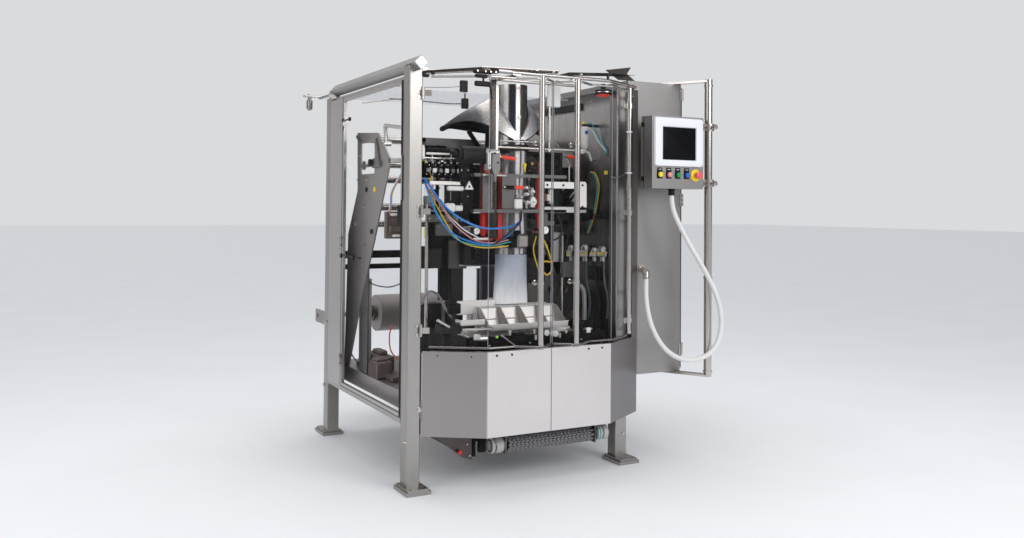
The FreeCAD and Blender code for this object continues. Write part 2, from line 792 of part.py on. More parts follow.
# Bars inside the doors: a hanging frame of two uprights and a rod
HANGING_Y = "(-frame_depth / 2 + hanging_back)"
STRAP_LEVEL = "door_top + 9.7"
hanging = []
for name, at, wide in (("left", "hanging_left", "30"), ("inner", "hanging_left + 31", "14"),
                       ("right", "hanging_right", "12")):
    hanging.append(box("hanging_bar_" + name, (wide, "10", "hanging_high - hanging_low"),
                       (at, HANGING_Y, "hanging_low")))
    hanging.append(box("hanging_strap_" + name, (wide, "hanging_back + guard_projection + 6", "5"),
                       (at, GUARD_FRONT + " + 1", STRAP_LEVEL)))
for name, radius, level in (("rod", "6", "hanging_low + 16"), ("top", "8", "hanging_high - 8")):
    hanging.append(cylinder("hanging_" + name, radius, "hanging_reach",
                            ("hanging_left - 6", HANGING_Y + " + 5", level), "X"))
node("hanging_frame", fuse("hanging_weld", hanging))

# Clear roof sheet behind the shoulder, on the left header and against the inner wall
roof_size = ("frame_width - 2 * post_size + 70", "frame_depth / 2 - post_size - roof_front - 3", "roof_pane")
node("roof_pane", box("roof_glass", roof_size,
                      (LEFT_INNER + " - 26", "roof_front", BACK_POST_TOP + " - 1.7")))

# Electrical cabinet on the right of the frame: a closed sheet housing with a leaf on its far side
cabinet = rounded("cabinet_outside", box("cabinet_block", ("cabinet_width", "cabinet_depth",
                                                           "cabinet_top - cabinet_bottom"),
                                         (RIGHT_FACE, FRONT_FACE, "cabinet_bottom")), "cabinet_corner")
cabinet_space = box("cabinet_space", ("cabinet_width - 2 * sheet_wall", "cabinet_depth - 2 * sheet_wall",
                                      "cabinet_top - cabinet_bottom - 2 * sheet_wall"),
                    (RIGHT_FACE + " + sheet_wall", FRONT_FACE + " + sheet_wall",
                     "cabinet_bottom + sheet_wall"))
node("cabinet_body", cut("cabinet_housing", cabinet, [cabinet_space]))
leaf = box("cabinet_leaf", ("cabinet_door", "cabinet_depth - 2 * cabinet_rim",
                            "cabinet_top - cabinet_bottom - 2 * cabinet_rim"),
           (RIGHT_FACE + " + cabinet_width + 0.3", FRONT_FACE + " + cabinet_rim",
            "cabinet_bottom + cabinet_rim"))
leaf_space = box("cabinet_leaf_space", ("cabinet_door - sheet_wall", "cabinet_depth - 2 * cabinet_rim - 24",
                                        "cabinet_top - cabinet_bottom - 2 * cabinet_rim - 24"),
                 (RIGHT_FACE + " + cabinet_width", FRONT_FACE + " + cabinet_rim + 12",
                  "cabinet_bottom + cabinet_rim + 12"))
node("cabinet_door", cut("cabinet_leaf_sheet", leaf, [leaf_space]))
node("inner_wall", box("liner", ("liner_sheet", "frame_depth - 2 * post_size - 2",
                                 "right_post_top - bed_top - 2"),
                       (RIGHT_FACE + " - liner_sheet - 0.3", FRONT_INNER + " + 1", "bed_top + 1")))


# Operator panel: fixed arms and tube, then the swivelling box
def panel_tube_place():
    return half_width() + size("panel_tube_out"), front() - size("panel_tube_forward")


def panel_post():
    x, y = panel_tube_place()
    radius, thick, wide = size("panel_tube_radius"), size("arm_thickness"), size("arm_width")
    root = Vector(half_width() + size("arm_root_out"), front() + 90, 0)
    reach = Vector(x, y, 0) - root
    low, high = size("cabinet_bottom") - thick - 0.3, size("cabinet_top") + 0.3
    parts = [Part.makeCylinder(radius, high - low + thick + 4, Vector(x, y, low))]
    for level in (low, high):
        arm = Part.makeBox(reach.Length, wide, thick, Vector(0, -wide / 2, 0))
        arm.rotate(Vector(), Vector(0, 0, 1), math.degrees(math.atan2(reach.y, reach.x)))
        arm.translate(root + Vector(0, 0, level))
        parts.append(arm)
    return welded(parts)


node("panel_post", feature("panel_post_weld", panel_post()))

PANEL_LEFT = "(%s - panel_tube_radius - panel_gap - panel_width)" % PANEL_TUBE_X
housing = rounded("panel_outside", padded("panel_housing", "XZ", [
    (PANEL_LEFT, "panel_bottom"), (PANEL_LEFT + " + panel_width", "panel_bottom"),
    (PANEL_LEFT + " + panel_width", "panel_bottom + panel_height"),
    (PANEL_LEFT, "panel_bottom + panel_height")], "panel_depth", "-%s - panel_depth" % PANEL_FRONT),
    "panel_corner", "Y")
panel_space = box("panel_space", ("panel_width - 2 * sheet_wall", "panel_depth - 2 * sheet_wall",
                                  "panel_height - 2 * sheet_wall"),
                  (PANEL_LEFT + " + sheet_wall", PANEL_FRONT + " + sheet_wall", "panel_bottom + sheet_wall"))
node("panel_box", cut("panel_shell", housing, [panel_space]))


def panel_clamps():
    x, y = panel_tube_place()
    radius = size("panel_tube_radius") + size("hinge_clearance")
    side = x - size("panel_tube_radius") - size("panel_gap")
    clamps = []
    for level in (size("panel_bottom") + 16, size("panel_bottom") + size("panel_height") - 66):
        eye = Part.makeCylinder(radius + 10, 40, Vector(x, y, level))
        arm = Part.makeBox(x - side, 30, 40, Vector(side + 0.3, y - 15, level))
        bore = Part.makeCylinder(radius, 60, Vector(x, y, level - 10))
        clamps.append(eye.fuse(arm).cut(bore))
    return Part.makeCompound(clamps)


node("panel_clamps", feature("panel_clamp_pair", panel_clamps()))
node("panel_bezel", cut("bezel_frame",
                        box("bezel_block", ("panel_width - 24", "14", "panel_height - 116"),
                            (PANEL_LEFT + " + 12", PANEL_FRONT + " - 14", "panel_bottom + 106")),
                        [box("bezel_window", ("panel_width - 110", "20", "panel_height - 206"),
                             (PANEL_LEFT + " + 55", PANEL_FRONT + " - 20", "panel_bottom + 151"))]))
node("panel_screen", box("screen_glass", ("panel_width - 110", "8", "panel_height - 206"),
                         (PANEL_LEFT + " + 55", PANEL_FRONT + " - 8", "panel_bottom + 151")))
buttons = []
for i in range(4):
    across = PANEL_LEFT + " + 52 + %d * 62" % i
    buttons.append(cylinder("button_%d" % i, "14", "16",
                            (across, PANEL_FRONT + " - 16", "panel_bottom + 76"), "Y"))
node("panel_buttons", group("button_row", buttons))
stop_x = PANEL_LEFT + " + 300"
node("emergency_stop", fuse("stop_weld", [
    cylinder("stop_ring", "30", "5", (stop_x, PANEL_FRONT + " - 5", "panel_bottom + 76"), "Y"),
    cylinder("stop_stem", "12", "20", (stop_x, PANEL_FRONT + " - 25", "panel_bottom + 76"), "Y"),
    cylinder("stop_cap", "20", "16", (stop_x, PANEL_FRONT + " - 41", "panel_bottom + 76"), "Y")]))
node("hose_gland", cylinder("gland_nut", "gland_radius", "22",
                            (PANEL_TUBE_X + " - gland_from_tube", PANEL_FRONT + " + panel_depth / 2",
                             "panel_bottom - 22")))

# White hose from the panel's gland to the elbow on the cabinet
HOSE_ROUTE = [
    (842, -822.5, 1491.6), (842, -823, 1440), (856, -831, 1376), (882, -842, 1316), (914, -852, 1254),
    (948, -864, 1192), (986, -876, 1128), (1026, -886, 1062), (1066, -892, 996), (1102, -895, 928),
    (1130, -895, 858), (1144, -892, 786), (1142, -888, 714), (1118, -886, 648), (1070, -886, 600),
    (1004, -880, 574), (934, -868, 566), (866, -850, 582), (808, -826, 622), (768, -800, 684),
    (746, -774, 754), (738, -752, 826), (738, -736, 896), (744, -724, 962), (752, -716, 1018),
]
# The frame corner for which the route was set: it moves along with that corner
ROUTE_CORNER = (667, -657)
hose_route = [(x + half_width() - ROUTE_CORNER[0], y + front() - ROUTE_CORNER[1], z)
              for x, y, z in HOSE_ROUTE]
hose_shape, hose_radii = swept(hose_route, size("hose_diameter") / 2)
print("hose length %.0f mm, bend radii %s" % (rounded_path(hose_route)[0].Length,
                                              [round(r) for r in hose_radii]))
node("panel_hose", feature("hose_sweep", hose_shape))


def hose_elbow():
    """Angled fitting that screws into the cabinet's front and holds the hose's end."""
    end, before = Vector(*hose_route[-1]), Vector(*hose_route[-2])
    up = (end - before)
    up.normalize()
    socket = end + up * 26
    wall = Vector(half_width() + size("elbow_out"), front() - 0.3, size("elbow_z"))
    collar = Part.makeCylinder(18, 26, end, up)
    ball = Part.makeSphere(17, socket)
    reach = wall - socket
    stub = Part.makeCylinder(16, reach.Length + 20, socket, reach)
    flange = Part.makeCylinder(22, 10, wall + Vector(0, -10, 0), Vector(0, 1, 0))
    body = welded([collar, ball, stub, flange])
    keep = Part.makeBox(800, 400, 800, wall + Vector(-400, -400, -400))
    return body.common(keep).Solids[0]


node("hose_elbow", feature("elbow_fitting", hose_elbow()))

# Forming tube and film
forming = cut("forming_pipe", cylinder("forming_outer", "tube_radius", "tube_top - tube_bottom",
                                       ("tube_x", "tube_y", "tube_bottom")),
              [cylinder("forming_inner", "tube_radius - tube_wall", "tube_top - tube_bottom + 2",
                        ("tube_x", "tube_y", "tube_bottom - 1"))])
node("forming_tube", forming)


def collar_edge(turn):
    """Point where the sheet meets the tube: it climbs from the front seam to the back of the tube."""
    radius = size("tube_radius") + size("collar_gap")
    return Vector(size("tube_x") - radius * math.sin(turn), size("tube_y") - radius * math.cos(turn),
                  size("collar_low") + size("collar_rise") * math.sin(turn / 2))


def collar_rim(turn):
    """Point of the outer rim: from the seam over an arch to the wing tip, then back to the heel."""
    x, y, low = size("tube_x"), size("tube_y"), size("collar_low")
    seam = collar_edge(0) + Vector(0, -2, -6)
    tip = Vector(x - size("collar_half"), y + size("collar_tip_back"), low + size("collar_tip_rise"))
    heel = Vector(x, y + size("collar_heel_back"), low + size("collar_heel_rise"))
    quarter = math.radians(95)
    if turn <= quarter:
        share = turn / quarter
        way = tip - seam
        return seam + Vector(way.x * share ** 0.65, way.y * share ** 1.5,
                             way.z * share + size("collar_bulge") * math.sin(math.pi * share))
    share = (turn - quarter) / (math.pi - quarter)
    return tip + (heel - tip) * share


def collar_wing():
    """Left half of the shoulder: a thin sheet between its edge on the tube and its outer rim."""
    wires = []
    steps = 12
    for i in range(steps + 1):
        turn = math.radians(8) + (math.pi - math.radians(8.05)) * i / steps
        inner, outer = collar_edge(turn), collar_rim(turn)
        ahead = collar_edge(turn + 0.02) + collar_rim(turn + 0.02) - inner - outer
        upward = ahead.cross(outer - inner)
        upward.normalize()
        if upward.z < 0:
            upward = upward * -1
        lift = upward * size("collar_sheet")
        wires.append(Part.makePolygon([inner, outer, outer + lift, inner + lift, inner]))
    return Part.makeLoft(wires, True, True)


wing_left = feature("collar_wing_left", collar_wing())
wing_right = mirrored("collar_wing_right", wing_left, Vector(1, 0, 0), Vector(size("tube_x"), 0, 0))
collar_clamp = cut("collar_ring", cylinder("collar_ring_outside", "tube_radius + 12", "34",
                                           ("tube_x", "tube_y", "head_top + 14.3")),
                   [cylinder("collar_ring_bore", "tube_radius + 0.1", "40",
                             ("tube_x", "tube_y", "head_top + 10"))])
collar_stay = box("collar_stay", ("24", "collar_heel_back - tube_radius - 20", "6"),
                  ("tube_x - 12", "tube_y + tube_radius + 10", "head_top + 30"))
collar_heel_post = box("collar_heel_post", ("24", "10", "collar_low + collar_heel_rise - head_top - 27"),
                       ("tube_x - 12", "tube_y + collar_heel_back - 14", "head_top + 30"))
node("forming_collar", group("collar_parts", [wing_left, wing_right]))
node("collar_support", fuse("collar_support_weld", [collar_clamp, collar_stay, collar_heel_post]))


def film_bag():
    x, y = size("tube_x"), size("tube_y")
    top, low = size("tube_bottom") - 0.5, size("bag_bottom")
    ring = Part.Wire([Part.Circle(Vector(x, y, top), Vector(0, 0, 1), size("tube_radius")).toShape()])
    wires = [ring]
    for t in (0.25, 0.6, 1.0):
        wide = size("tube_radius") * (1 - t) + size("bag_width") / 2 * t + 10 * math.sin(math.pi * t)
        deep = size("tube_radius") * (1 - t) + size("bag_depth") / 2 * t
        oval = Part.Ellipse(Vector(x, y, top + (low - top) * t), wide, deep)
        wires.append(Part.Wire([oval.toShape()]))
    return Part.makeLoft(wires, True, False)


node("film_bag", feature("film_bag_loft", film_bag()))

# Film unwind behind the frame: two arms, the spindle and the roll
ARM_LEFT = "(-frame_width / 2 + post_size / 2 - unwind_arm / 2)"
ARM_RIGHT = "(frame_width / 2 - post_size / 2 - unwind_arm / 2)"
arm_size = ("unwind_arm", "roll_y - frame_depth / 2 + 40", "unwind_arm_height")
spindle = cylinder("spindle_bar", "spindle_radius", "frame_width - post_size + 2 * unwind_arm",
                   (LEFT_FACE + " + post_size / 2 - unwind_arm", "roll_y", "roll_z"), "X")
node("unwind_arms", fuse("unwind_weld", [
    box("unwind_arm_left", arm_size, (ARM_LEFT, BACK_FACE, "roll_z - unwind_arm_height / 2")),
    box("unwind_arm_right", arm_size, (ARM_RIGHT, BACK_FACE, "roll_z - unwind_arm_height / 2")), spindle]))
roll_at = ("roll_x - roll_width / 2", "roll_y", "roll_z")
node("film_roll", cut("film_wound", cylinder("roll_outside", "roll_radius", "roll_width", roll_at, "X"),
                      [cylinder("roll_inside", "core_radius", "roll_width + 2",
                                ("roll_x - roll_width / 2 - 1", "roll_y", "roll_z"), "X")]))
node("roll_core", cut("core_tube", cylinder("core_outside", "core_radius", "roll_width + 24",
                                            ("roll_x - roll_width / 2 - 12", "roll_y", "roll_z"), "X"),
                      [cylinder("core_bore", "spindle_radius + hinge_clearance", "roll_width + 40",
                                ("roll_x - roll_width / 2 - 20", "roll_y", "roll_z"), "X")]))

# Roller cage: two side plates with a window, rollers and cross bars
# corners and rollers as (along Y, above the bed)
CAGE = [(316, 1397), (-29, 1373), (-213, 1214), (21, 773), (243, 385), (430, 0.3), (510, 0.3), (464, 793),
        (305, 1052)]
CAGE_WINDOW = [(250, 1328), (30, 1328), (30, 1148), (250, 1148)]
ROLLERS = [(-60, 1198), (0, 1340), (140, 1118), (284, 1358), (190, 958), (330, 858)]
CAGE_FACE = "(frame_width / 2 - post_size - cage_inset)"


def over_bed(corners):
    """Corners in the sheet's names, their heights counted from the bed."""
    return [(str(along), "bed_top + %s" % high) for along, high in corners]


def cage_plate(name, at):
    plate = padded(name + "_sheet", "YZ", over_bed(CAGE), "cage_sheet", at)
    window = padded(name + "_window", "YZ", over_bed(CAGE_WINDOW), "cage_sheet + 2", at + " - 1")
    return cut(name, plate, [window])


cage_posts = [box("cage_post_" + name, ("cage_post", "36", "542"), (at, "150", "bed_top + 0.3"))
              for name, at in (("left", "-%s + cage_sheet - 0.2" % CAGE_FACE),
                               ("right", "%s - cage_sheet - cage_post + 0.2" % CAGE_FACE))]
node("cage_plates", group("cage_plate_pair", [
    fuse("cage_side_left", [cage_plate("cage_plate_left", "-" + CAGE_FACE), cage_posts[0]]),
    fuse("cage_side_right", [cage_plate("cage_plate_right", CAGE_FACE + " - cage_sheet"), cage_posts[1]])]))
node("film_rollers", group("roller_set", [
    cylinder("roller_%d" % i, "roller_radius", "2 * %s - 2 * cage_sheet - 0.6" % CAGE_FACE,
             ("-%s + cage_sheet + 0.3" % CAGE_FACE, along, high), "X")
    for i, (along, high) in enumerate(over_bed(ROLLERS))]))
node("back_bars", group("back_bar_pair", [
    box(name, ("frame_width - 2 * post_size", "back_bar_depth", tall),
        (LEFT_INNER, BACK_INNER + " + 18", name))
    for name, tall in (("back_bar_low", "30"), ("back_bar_high", "46"))]))

# Columns, bridge and head that carry the tube
COLUMN_LEFT = "(tube_x - column_from_centre - column_size / 2)"
COLUMN_RIGHT = "(tube_x + column_from_centre - column_size / 2)"
COLUMN_FRONT = "(column_y - column_size / 2)"
node("jaw_columns", group("column_pair", [
    box("column_%d" % i, ("column_size", "column_size", "column_top - bed_top"),
        (at, COLUMN_FRONT, "bed_top"))
    for i, at in enumerate((COLUMN_LEFT, COLUMN_RIGHT))]))
head_span = "2 * column_from_centre + column_size"
head_back = "column_y - 270"
head_parts = [box("head_beam_bar", (head_span, "90", "head_beam"),
                  (COLUMN_LEFT, "column_y - 45", "column_top"))]
for name, at in (("left", COLUMN_LEFT), ("right", COLUMN_RIGHT + " + column_size - head_plate")):
    head_parts.append(box("head_plate_" + name,
                          ("head_plate", "head_depth", "head_top - column_top - head_beam"),
                          (at, head_back, "column_top + head_beam")))
deck = box("head_deck", (head_span, "head_depth", "14"), (COLUMN_LEFT, head_back, "head_top"))
head_parts.append(cut("head_deck_cut", deck, [cylinder("head_deck_hole", "tube_radius + 0.3", "30",
                                                      ("tube_x", "tube_y", "head_top - 8"))]))
node("tube_head", fuse("tube_head_weld", head_parts))


# Pull belts on both sides of the tube, each a loop on two pulleys in a red bracket
def belt_loop(name, at):
    """A flat belt standing on edge round two pulleys."""
    near = "tube_y - belt_width / 2"
    ends = [cylinder("%s_end_%d" % (name, i), "belt_pulley", "belt_width", (at, near, level), "Y")
            for i, level in enumerate(("belt_low", "belt_high"))]
    run = box(name + "_run", ("2 * belt_pulley", "belt_width", "belt_high - belt_low"),
              (at + " - belt_pulley", near, "belt_low"))
    return fuse(name, ends + [run])


BELT_FROM_CENTRE = "(tube_radius + belt_pulley + 0.3)"
node("pull_belts", group("pull_belt_pair", [
    belt_loop("pull_belt_left", "tube_x - " + BELT_FROM_CENTRE),
    belt_loop("pull_belt_right", "tube_x + " + BELT_FROM_CENTRE)]))
bracket_size = ("belt_bracket", "belt_width", "belt_high - belt_low + 110")
node("pull_brackets", group("pull_bracket_pair", [
    box("pull_bracket_" + name, bracket_size, (at, "tube_y - belt_width / 2", "belt_low - 50"))
    for name, at in (("left", "tube_x - %s - belt_pulley - belt_bracket" % BELT_FROM_CENTRE),
                     ("right", "tube_x + %s + belt_pulley" % BELT_FROM_CENTRE))]))

# Vertical seal frame in front of the tube
SEAL_Y = "(tube_y - seal_forward)"
SEAL_LEVELS = ("seal_low", "seal_high")
seal_parts = [box("seal_bar_%d" % i, (head_span, "10", "seal_bar"), (COLUMN_LEFT, SEAL_Y, level))
              for i, level in enumerate(SEAL_LEVELS)]
seal_parts += [box("seal_plate_%d" % i, (wide, "12", "seal_high - seal_low - seal_bar"),
                   (at, SEAL_Y, "seal_low + seal_bar"))
               for i, (at, wide) in enumerate((("tube_x - 238", "54"), ("tube_x - 110", "78")))]
seal_parts += [box("seal_side_%d_%d" % (i, j), ("10", head_back + " - " + SEAL_Y + " - 0.3", "seal_bar"),
                   (at, SEAL_Y, level))
               for i, at in enumerate((COLUMN_LEFT, COLUMN_RIGHT + " + column_size - 10"))
               for j, level in enumerate(SEAL_LEVELS)]
node("seal_frame", fuse("seal_frame_weld", seal_parts))

# Jaw base on the bed: side plates, cross bars and guide rods
JAW_LEFT = "(tube_x - jaw_base_half)"
JAW_FRONT = "(-frame_depth / 2 - jaw_base_forward)"
JAW_CROSS_BACK = "(column_y - column_size / 2 - jaw_base_bar)"
side_size = ("jaw_base_wall", "column_y + 20 - " + JAW_FRONT, "jaw_base_top - bed_top")
cross_size = ("2 * jaw_base_half", "jaw_base_bar", "jaw_base_top - jaw_base_bottom")
base_parts = [box("jaw_side_%d" % i, side_size, (at, JAW_FRONT, "bed_top"))
              for i, at in enumerate((JAW_LEFT, "tube_x + jaw_base_half - jaw_base_wall"))]
base_parts += [box("jaw_cross_%d" % i, cross_size, (JAW_LEFT, at, "jaw_base_bottom"))
               for i, at in enumerate((JAW_FRONT, JAW_CROSS_BACK))]
node("jaw_base", fuse("jaw_base_weld", base_parts))
JAW_RODS = ("tube_x - jaw_rod_from_centre", "tube_x + jaw_rod_from_centre")
ROD_START = "(%s + jaw_base_bar)" % JAW_FRONT
node("jaw_rods", group("jaw_rod_pair", [
    cylinder("jaw_rod_%d" % i, "jaw_rod_radius", JAW_CROSS_BACK + " - " + ROD_START,
             (at, ROD_START, "jaw_rod_level"), "Y") for i, at in enumerate(JAW_RODS)]))
jaw_sets = []
for name, at in (("front", "(tube_y - jaw_gap - jaw_depth)"), ("back", "(tube_y + jaw_gap)")):
    jaw = box("jaw_bar_" + name, ("jaw_cover_width", "jaw_depth", "jaw_cover_top - jaw_rod_level - 18"),
              ("tube_x - jaw_cover_width / 2", at, "jaw_rod_level + 18"))
    yoke = box("jaw_yoke_" + name, ("2 * jaw_rod_from_centre + 44", "jaw_depth", "44"),
               ("tube_x - jaw_rod_from_centre - 22", at, "jaw_rod_level - 22"))
    bores = [cylinder("jaw_bore_%s_%d" % (name, i), "jaw_rod_radius + 0.1", "jaw_depth + 10",
                      (across, at + " - 5", "jaw_rod_level"), "Y") for i, across in enumerate(JAW_RODS)]
    jaw_sets.append(cut("jaw_set_" + name, fuse("jaw_weld_" + name, [jaw, yoke]), bores))
node("sealing_jaws", group("jaw_bar_pair", jaw_sets))

# Cover in front of the jaws: a bent sheet whose four pockets are parted by gussets
COVER_LEFT = "tube_x - jaw_cover_width / 2"
cover_sheet = padded("jaw_cover_profile", "YZ", [
    ("jaw_cover_front", "jaw_cover_bottom + 14"), ("jaw_cover_front + 100", "jaw_cover_bottom"),
    ("jaw_cover_front + 150", "jaw_cover_top"), ("jaw_cover_front + 144", "jaw_cover_top"),
    ("jaw_cover_front + 96", "jaw_cover_bottom + 6"), ("jaw_cover_front", "jaw_cover_bottom + 20")],
    "jaw_cover_width", COVER_LEFT)
gussets = [padded("jaw_gusset_%d" % i, "YZ", [
    ("jaw_cover_front", "jaw_cover_bottom + 17"), ("jaw_cover_front + 98", "jaw_cover_bottom + 3"),
    ("jaw_cover_front + 147", "jaw_cover_top"), ("jaw_cover_front + 112", "jaw_cover_top")],
    "4", COVER_LEFT + " + %d * (jaw_cover_width - 4) / 4" % i) for i in range(5)]
node("jaw_cover_front", fuse("jaw_cover_weld", [cover_sheet] + gussets))

# Housing of the jaw drive on the right, stepped at the top, with two openings
DRIVE_Y = "(column_y - 50)"
drive_plate = padded("drive_cover_plate", "XZ", [
    ("drive_cover_left", "jaw_base_top + 0.3"), ("tube_x + jaw_base_half", "jaw_base_top + 0.3"),
    ("drive_cover_right", "jaw_base_top + 60"), ("drive_cover_right", "drive_cover_top - 52"),
    ("drive_cover_right - 10", "drive_cover_top"), ("drive_cover_left + 108", "drive_cover_top"),
    ("drive_cover_left + 108", "drive_cover_top - 52"), ("drive_cover_left", "drive_cover_top - 52")],
    "20", "-" + DRIVE_Y)
node("drive_cover", cut("drive_cover_sheet", drive_plate, [
    cylinder("drive_opening_%d" % i, "22", "30", (at, DRIVE_Y + " - 25", "drive_cover_top - 90"), "Y")
    for i, at in enumerate(("drive_cover_right - 60", "drive_cover_left + 150"))]))

# Take-off conveyor below the enclosure
node("conveyor_belt", fuse("conveyor_loop", [
    cylinder("conveyor_nose", "conveyor_radius", "conveyor_width",
             ("conveyor_x - conveyor_width / 2", "conveyor_front + conveyor_radius", "conveyor_z"), "X"),
    cylinder("conveyor_tail", "conveyor_radius", "conveyor_width",
             ("conveyor_x - conveyor_width / 2", "conveyor_back - conveyor_radius", "conveyor_z"), "X"),
    box("conveyor_run", ("conveyor_width", "conveyor_back - conveyor_front - 2 * conveyor_radius",
                         "2 * conveyor_radius"),
        ("conveyor_x - conveyor_width / 2", "conveyor_front + conveyor_radius",
         "conveyor_z - conveyor_radius"))]))
conveyor_sides = []
BELT_LEFT, BELT_RIGHT = "conveyor_x - conveyor_width / 2", "conveyor_x + conveyor_width / 2"
for name, at, boss_at in (("left", BELT_LEFT + " - 12", BELT_LEFT + " - 5"),
                          ("right", BELT_RIGHT + " + 4", BELT_RIGHT + " + 0.3")):
    side_parts = [box("conveyor_side_" + name, ("8", "conveyor_back - conveyor_front - 20", "90"),
                      (at, "conveyor_front + 10", "conveyor_z - 45")),
                  cylinder("conveyor_cap_" + name, "conveyor_radius - 3", "conveyor_cap",
                           (at + (" - conveyor_cap" if name == "left" else " + 8"),
                            "conveyor_front + conveyor_radius", "conveyor_z"), "X")]
    for i, back in enumerate(("-600", "-250")):
        side_parts.append(box("conveyor_hanger_%s_%d" % (name, i),
                              ("8", "60", "bed_top - bed_sheet - conveyor_z - 40"),
                              (at, back, "conveyor_z + 40")))
    for i, along in enumerate(("conveyor_front + conveyor_radius", "conveyor_back - conveyor_radius")):
        side_parts.append(cylinder("conveyor_boss_%s_%d" % (name, i), "18", "4.7",
                                   (boss_at, along, "conveyor_z"), "X"))
    conveyor_sides.append(fuse("conveyor_weld_" + name, side_parts))
node("conveyor_frame", group("conveyor_frame_sides", conveyor_sides))

# Drip tray beside the conveyor: a slanted front sheet and a long side sheet under the bed
TRAY_TOP = "(bed_top - bed_depth - 0.3)"
node("drip_tray", fuse("drip_tray_weld", [
    padded("tray_front", "XZ", [("tray_left - 256", TRAY_TOP), ("tray_left - 182", "235"),
                                ("tray_left - 51", "134"), ("tray_left", "118"), ("tray_left", TRAY_TOP)],
           "4", "-(%s + 4)" % FRONT_FACE),
    box("tray_side", ("4", "520", TRAY_TOP + " - 118"), ("tray_left - 4", FRONT_FACE + " + 1", "118"))]))

# Check every object, then write one file for each piece
document.recompute()
for item in document.Objects:
    if "Invalid" in item.State or "Error" in item.State:
        raise RuntimeError("%s failed: %s" % (item.Label, item.State))
os.makedirs("parts", exist_ok=True)
facets = 0
for item in nodes:
    shape = item.Shape
    if shape.isNull() or not shape.isValid():
        raise RuntimeError("%s has no valid shape" % item.Label)
    facets += len(shape.tessellate(1.0)[1])
for item in nodes:
    item.Shape.exportStep("parts/%s.step" % item.Label)
print("%d pieces, %d triangles" % (len(nodes), facets))
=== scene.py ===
"""Dresses a vertical form fill seal machine: finishes, small hardware, film, hoses and cables.

Shapes are worked out in millimetres in the machine's own frame and put into meshes in metres.
X runs to the right, -Y to the front guards, Z up, with the floor at zero."""

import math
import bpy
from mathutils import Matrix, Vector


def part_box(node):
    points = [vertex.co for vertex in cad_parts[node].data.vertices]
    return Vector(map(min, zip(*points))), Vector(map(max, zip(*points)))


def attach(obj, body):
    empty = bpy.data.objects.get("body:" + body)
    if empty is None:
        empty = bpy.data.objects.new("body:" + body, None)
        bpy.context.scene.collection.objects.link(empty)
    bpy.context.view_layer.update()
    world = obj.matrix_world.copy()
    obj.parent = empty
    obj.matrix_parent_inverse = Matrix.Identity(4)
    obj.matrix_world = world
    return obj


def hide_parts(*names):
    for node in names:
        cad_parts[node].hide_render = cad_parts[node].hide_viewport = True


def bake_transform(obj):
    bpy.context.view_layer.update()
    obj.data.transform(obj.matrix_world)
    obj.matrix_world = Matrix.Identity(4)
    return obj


bl_info = {
    "name": "Form Fill Seal Machine",
    "version": (1, 0, 0),
    "blender": (4, 5, 0),
    "location": "View3D > Sidebar > Machine",
    "description": "Builds the visible detail of a vertical form fill seal machine on its packed frame",
    "category": "Add Mesh",
}

import bpy
import numpy as np
from mathutils import Matrix, Vector

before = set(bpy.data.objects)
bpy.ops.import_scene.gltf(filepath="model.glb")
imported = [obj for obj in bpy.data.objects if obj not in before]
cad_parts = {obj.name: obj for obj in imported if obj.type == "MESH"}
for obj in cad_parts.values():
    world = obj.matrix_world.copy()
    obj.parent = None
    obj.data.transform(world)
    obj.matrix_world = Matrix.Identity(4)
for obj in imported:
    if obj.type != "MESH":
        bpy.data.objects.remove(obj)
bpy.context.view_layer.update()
MM = 0.001
TAU = 2 * math.pi


# Shapes: each returns (points, faces) in millimetres with its faces outwards


def loft(rings, capped=True):
    """Skin over rings of equally many points: S(i, j) = ring i, point j, joined to its neighbours.

    Each ring runs anticlockwise seen against the direction in which the rings advance."""
    rings = np.asarray(rings, float)
    count, around = rings.shape[:2]
    i, j = np.meshgrid(np.arange(count - 1), np.arange(around), indexing="ij")
    first, second = i * around + j, i * around + (j + 1) % around
    faces = np.stack([first, second, second + around, first + around], -1).reshape(-1, 4).tolist()
    if capped:
        faces.append(list(range(around))[::-1])
        faces.append(list(range((count - 1) * around, count * around)))
    return rings.reshape(-1, 3), faces


def grid(points, thickness=0.0):
    """Open surface through a grid of points; with a thickness, a closed shell between it and its offset.

    The offset is along the cross product of the grid's two directions, by central differences."""
    points = np.asarray(points, float)
    rows, columns = points.shape[:2]
    i, j = np.meshgrid(np.arange(rows - 1), np.arange(columns - 1), indexing="ij")
    a = (i * columns + j).ravel()
    quads = np.stack([a, a + columns, a + columns + 1, a + 1], -1)
    if not thickness:
        return points.reshape(-1, 3), quads.tolist()
    normal = np.cross(np.gradient(points, axis=0), np.gradient(points, axis=1))
    normal /= np.linalg.norm(normal, axis=2, keepdims=True) + 1e-9
    other = points + normal * thickness
    shift = rows * columns
    edge = np.concatenate([np.arange(columns), np.arange(1, rows) * columns + columns - 1,
                           (rows - 1) * columns + np.arange(columns - 2, -1, -1),
                           np.arange(rows - 2, 0, -1) * columns])
    following = np.roll(edge, -1)
    rim = np.stack([edge, following, following + shift, edge + shift], -1)
    faces = np.concatenate([quads[:, ::-1], quads + shift, rim[:, ::-1]])
    return np.concatenate([points.reshape(-1, 3), other.reshape(-1, 3)]), faces.tolist()


def ring_frames(path):
    """Tangents and two cross directions along a path, turned as little as possible from point to point."""
    path = np.asarray(path, float)
    tangent = np.gradient(path, axis=0)
    tangent /= np.linalg.norm(tangent, axis=1, keepdims=True)
    side = np.cross(tangent[0], (0, 0, 1) if abs(tangent[0][2]) < 0.9 else (0, 1, 0))
    sides = []
    for direction in tangent:
        side = side - direction * (side @ direction)
        side = side / np.linalg.norm(side)
        sides.append(side)
    sides = np.array(sides)
    return tangent, sides, np.cross(tangent, sides)


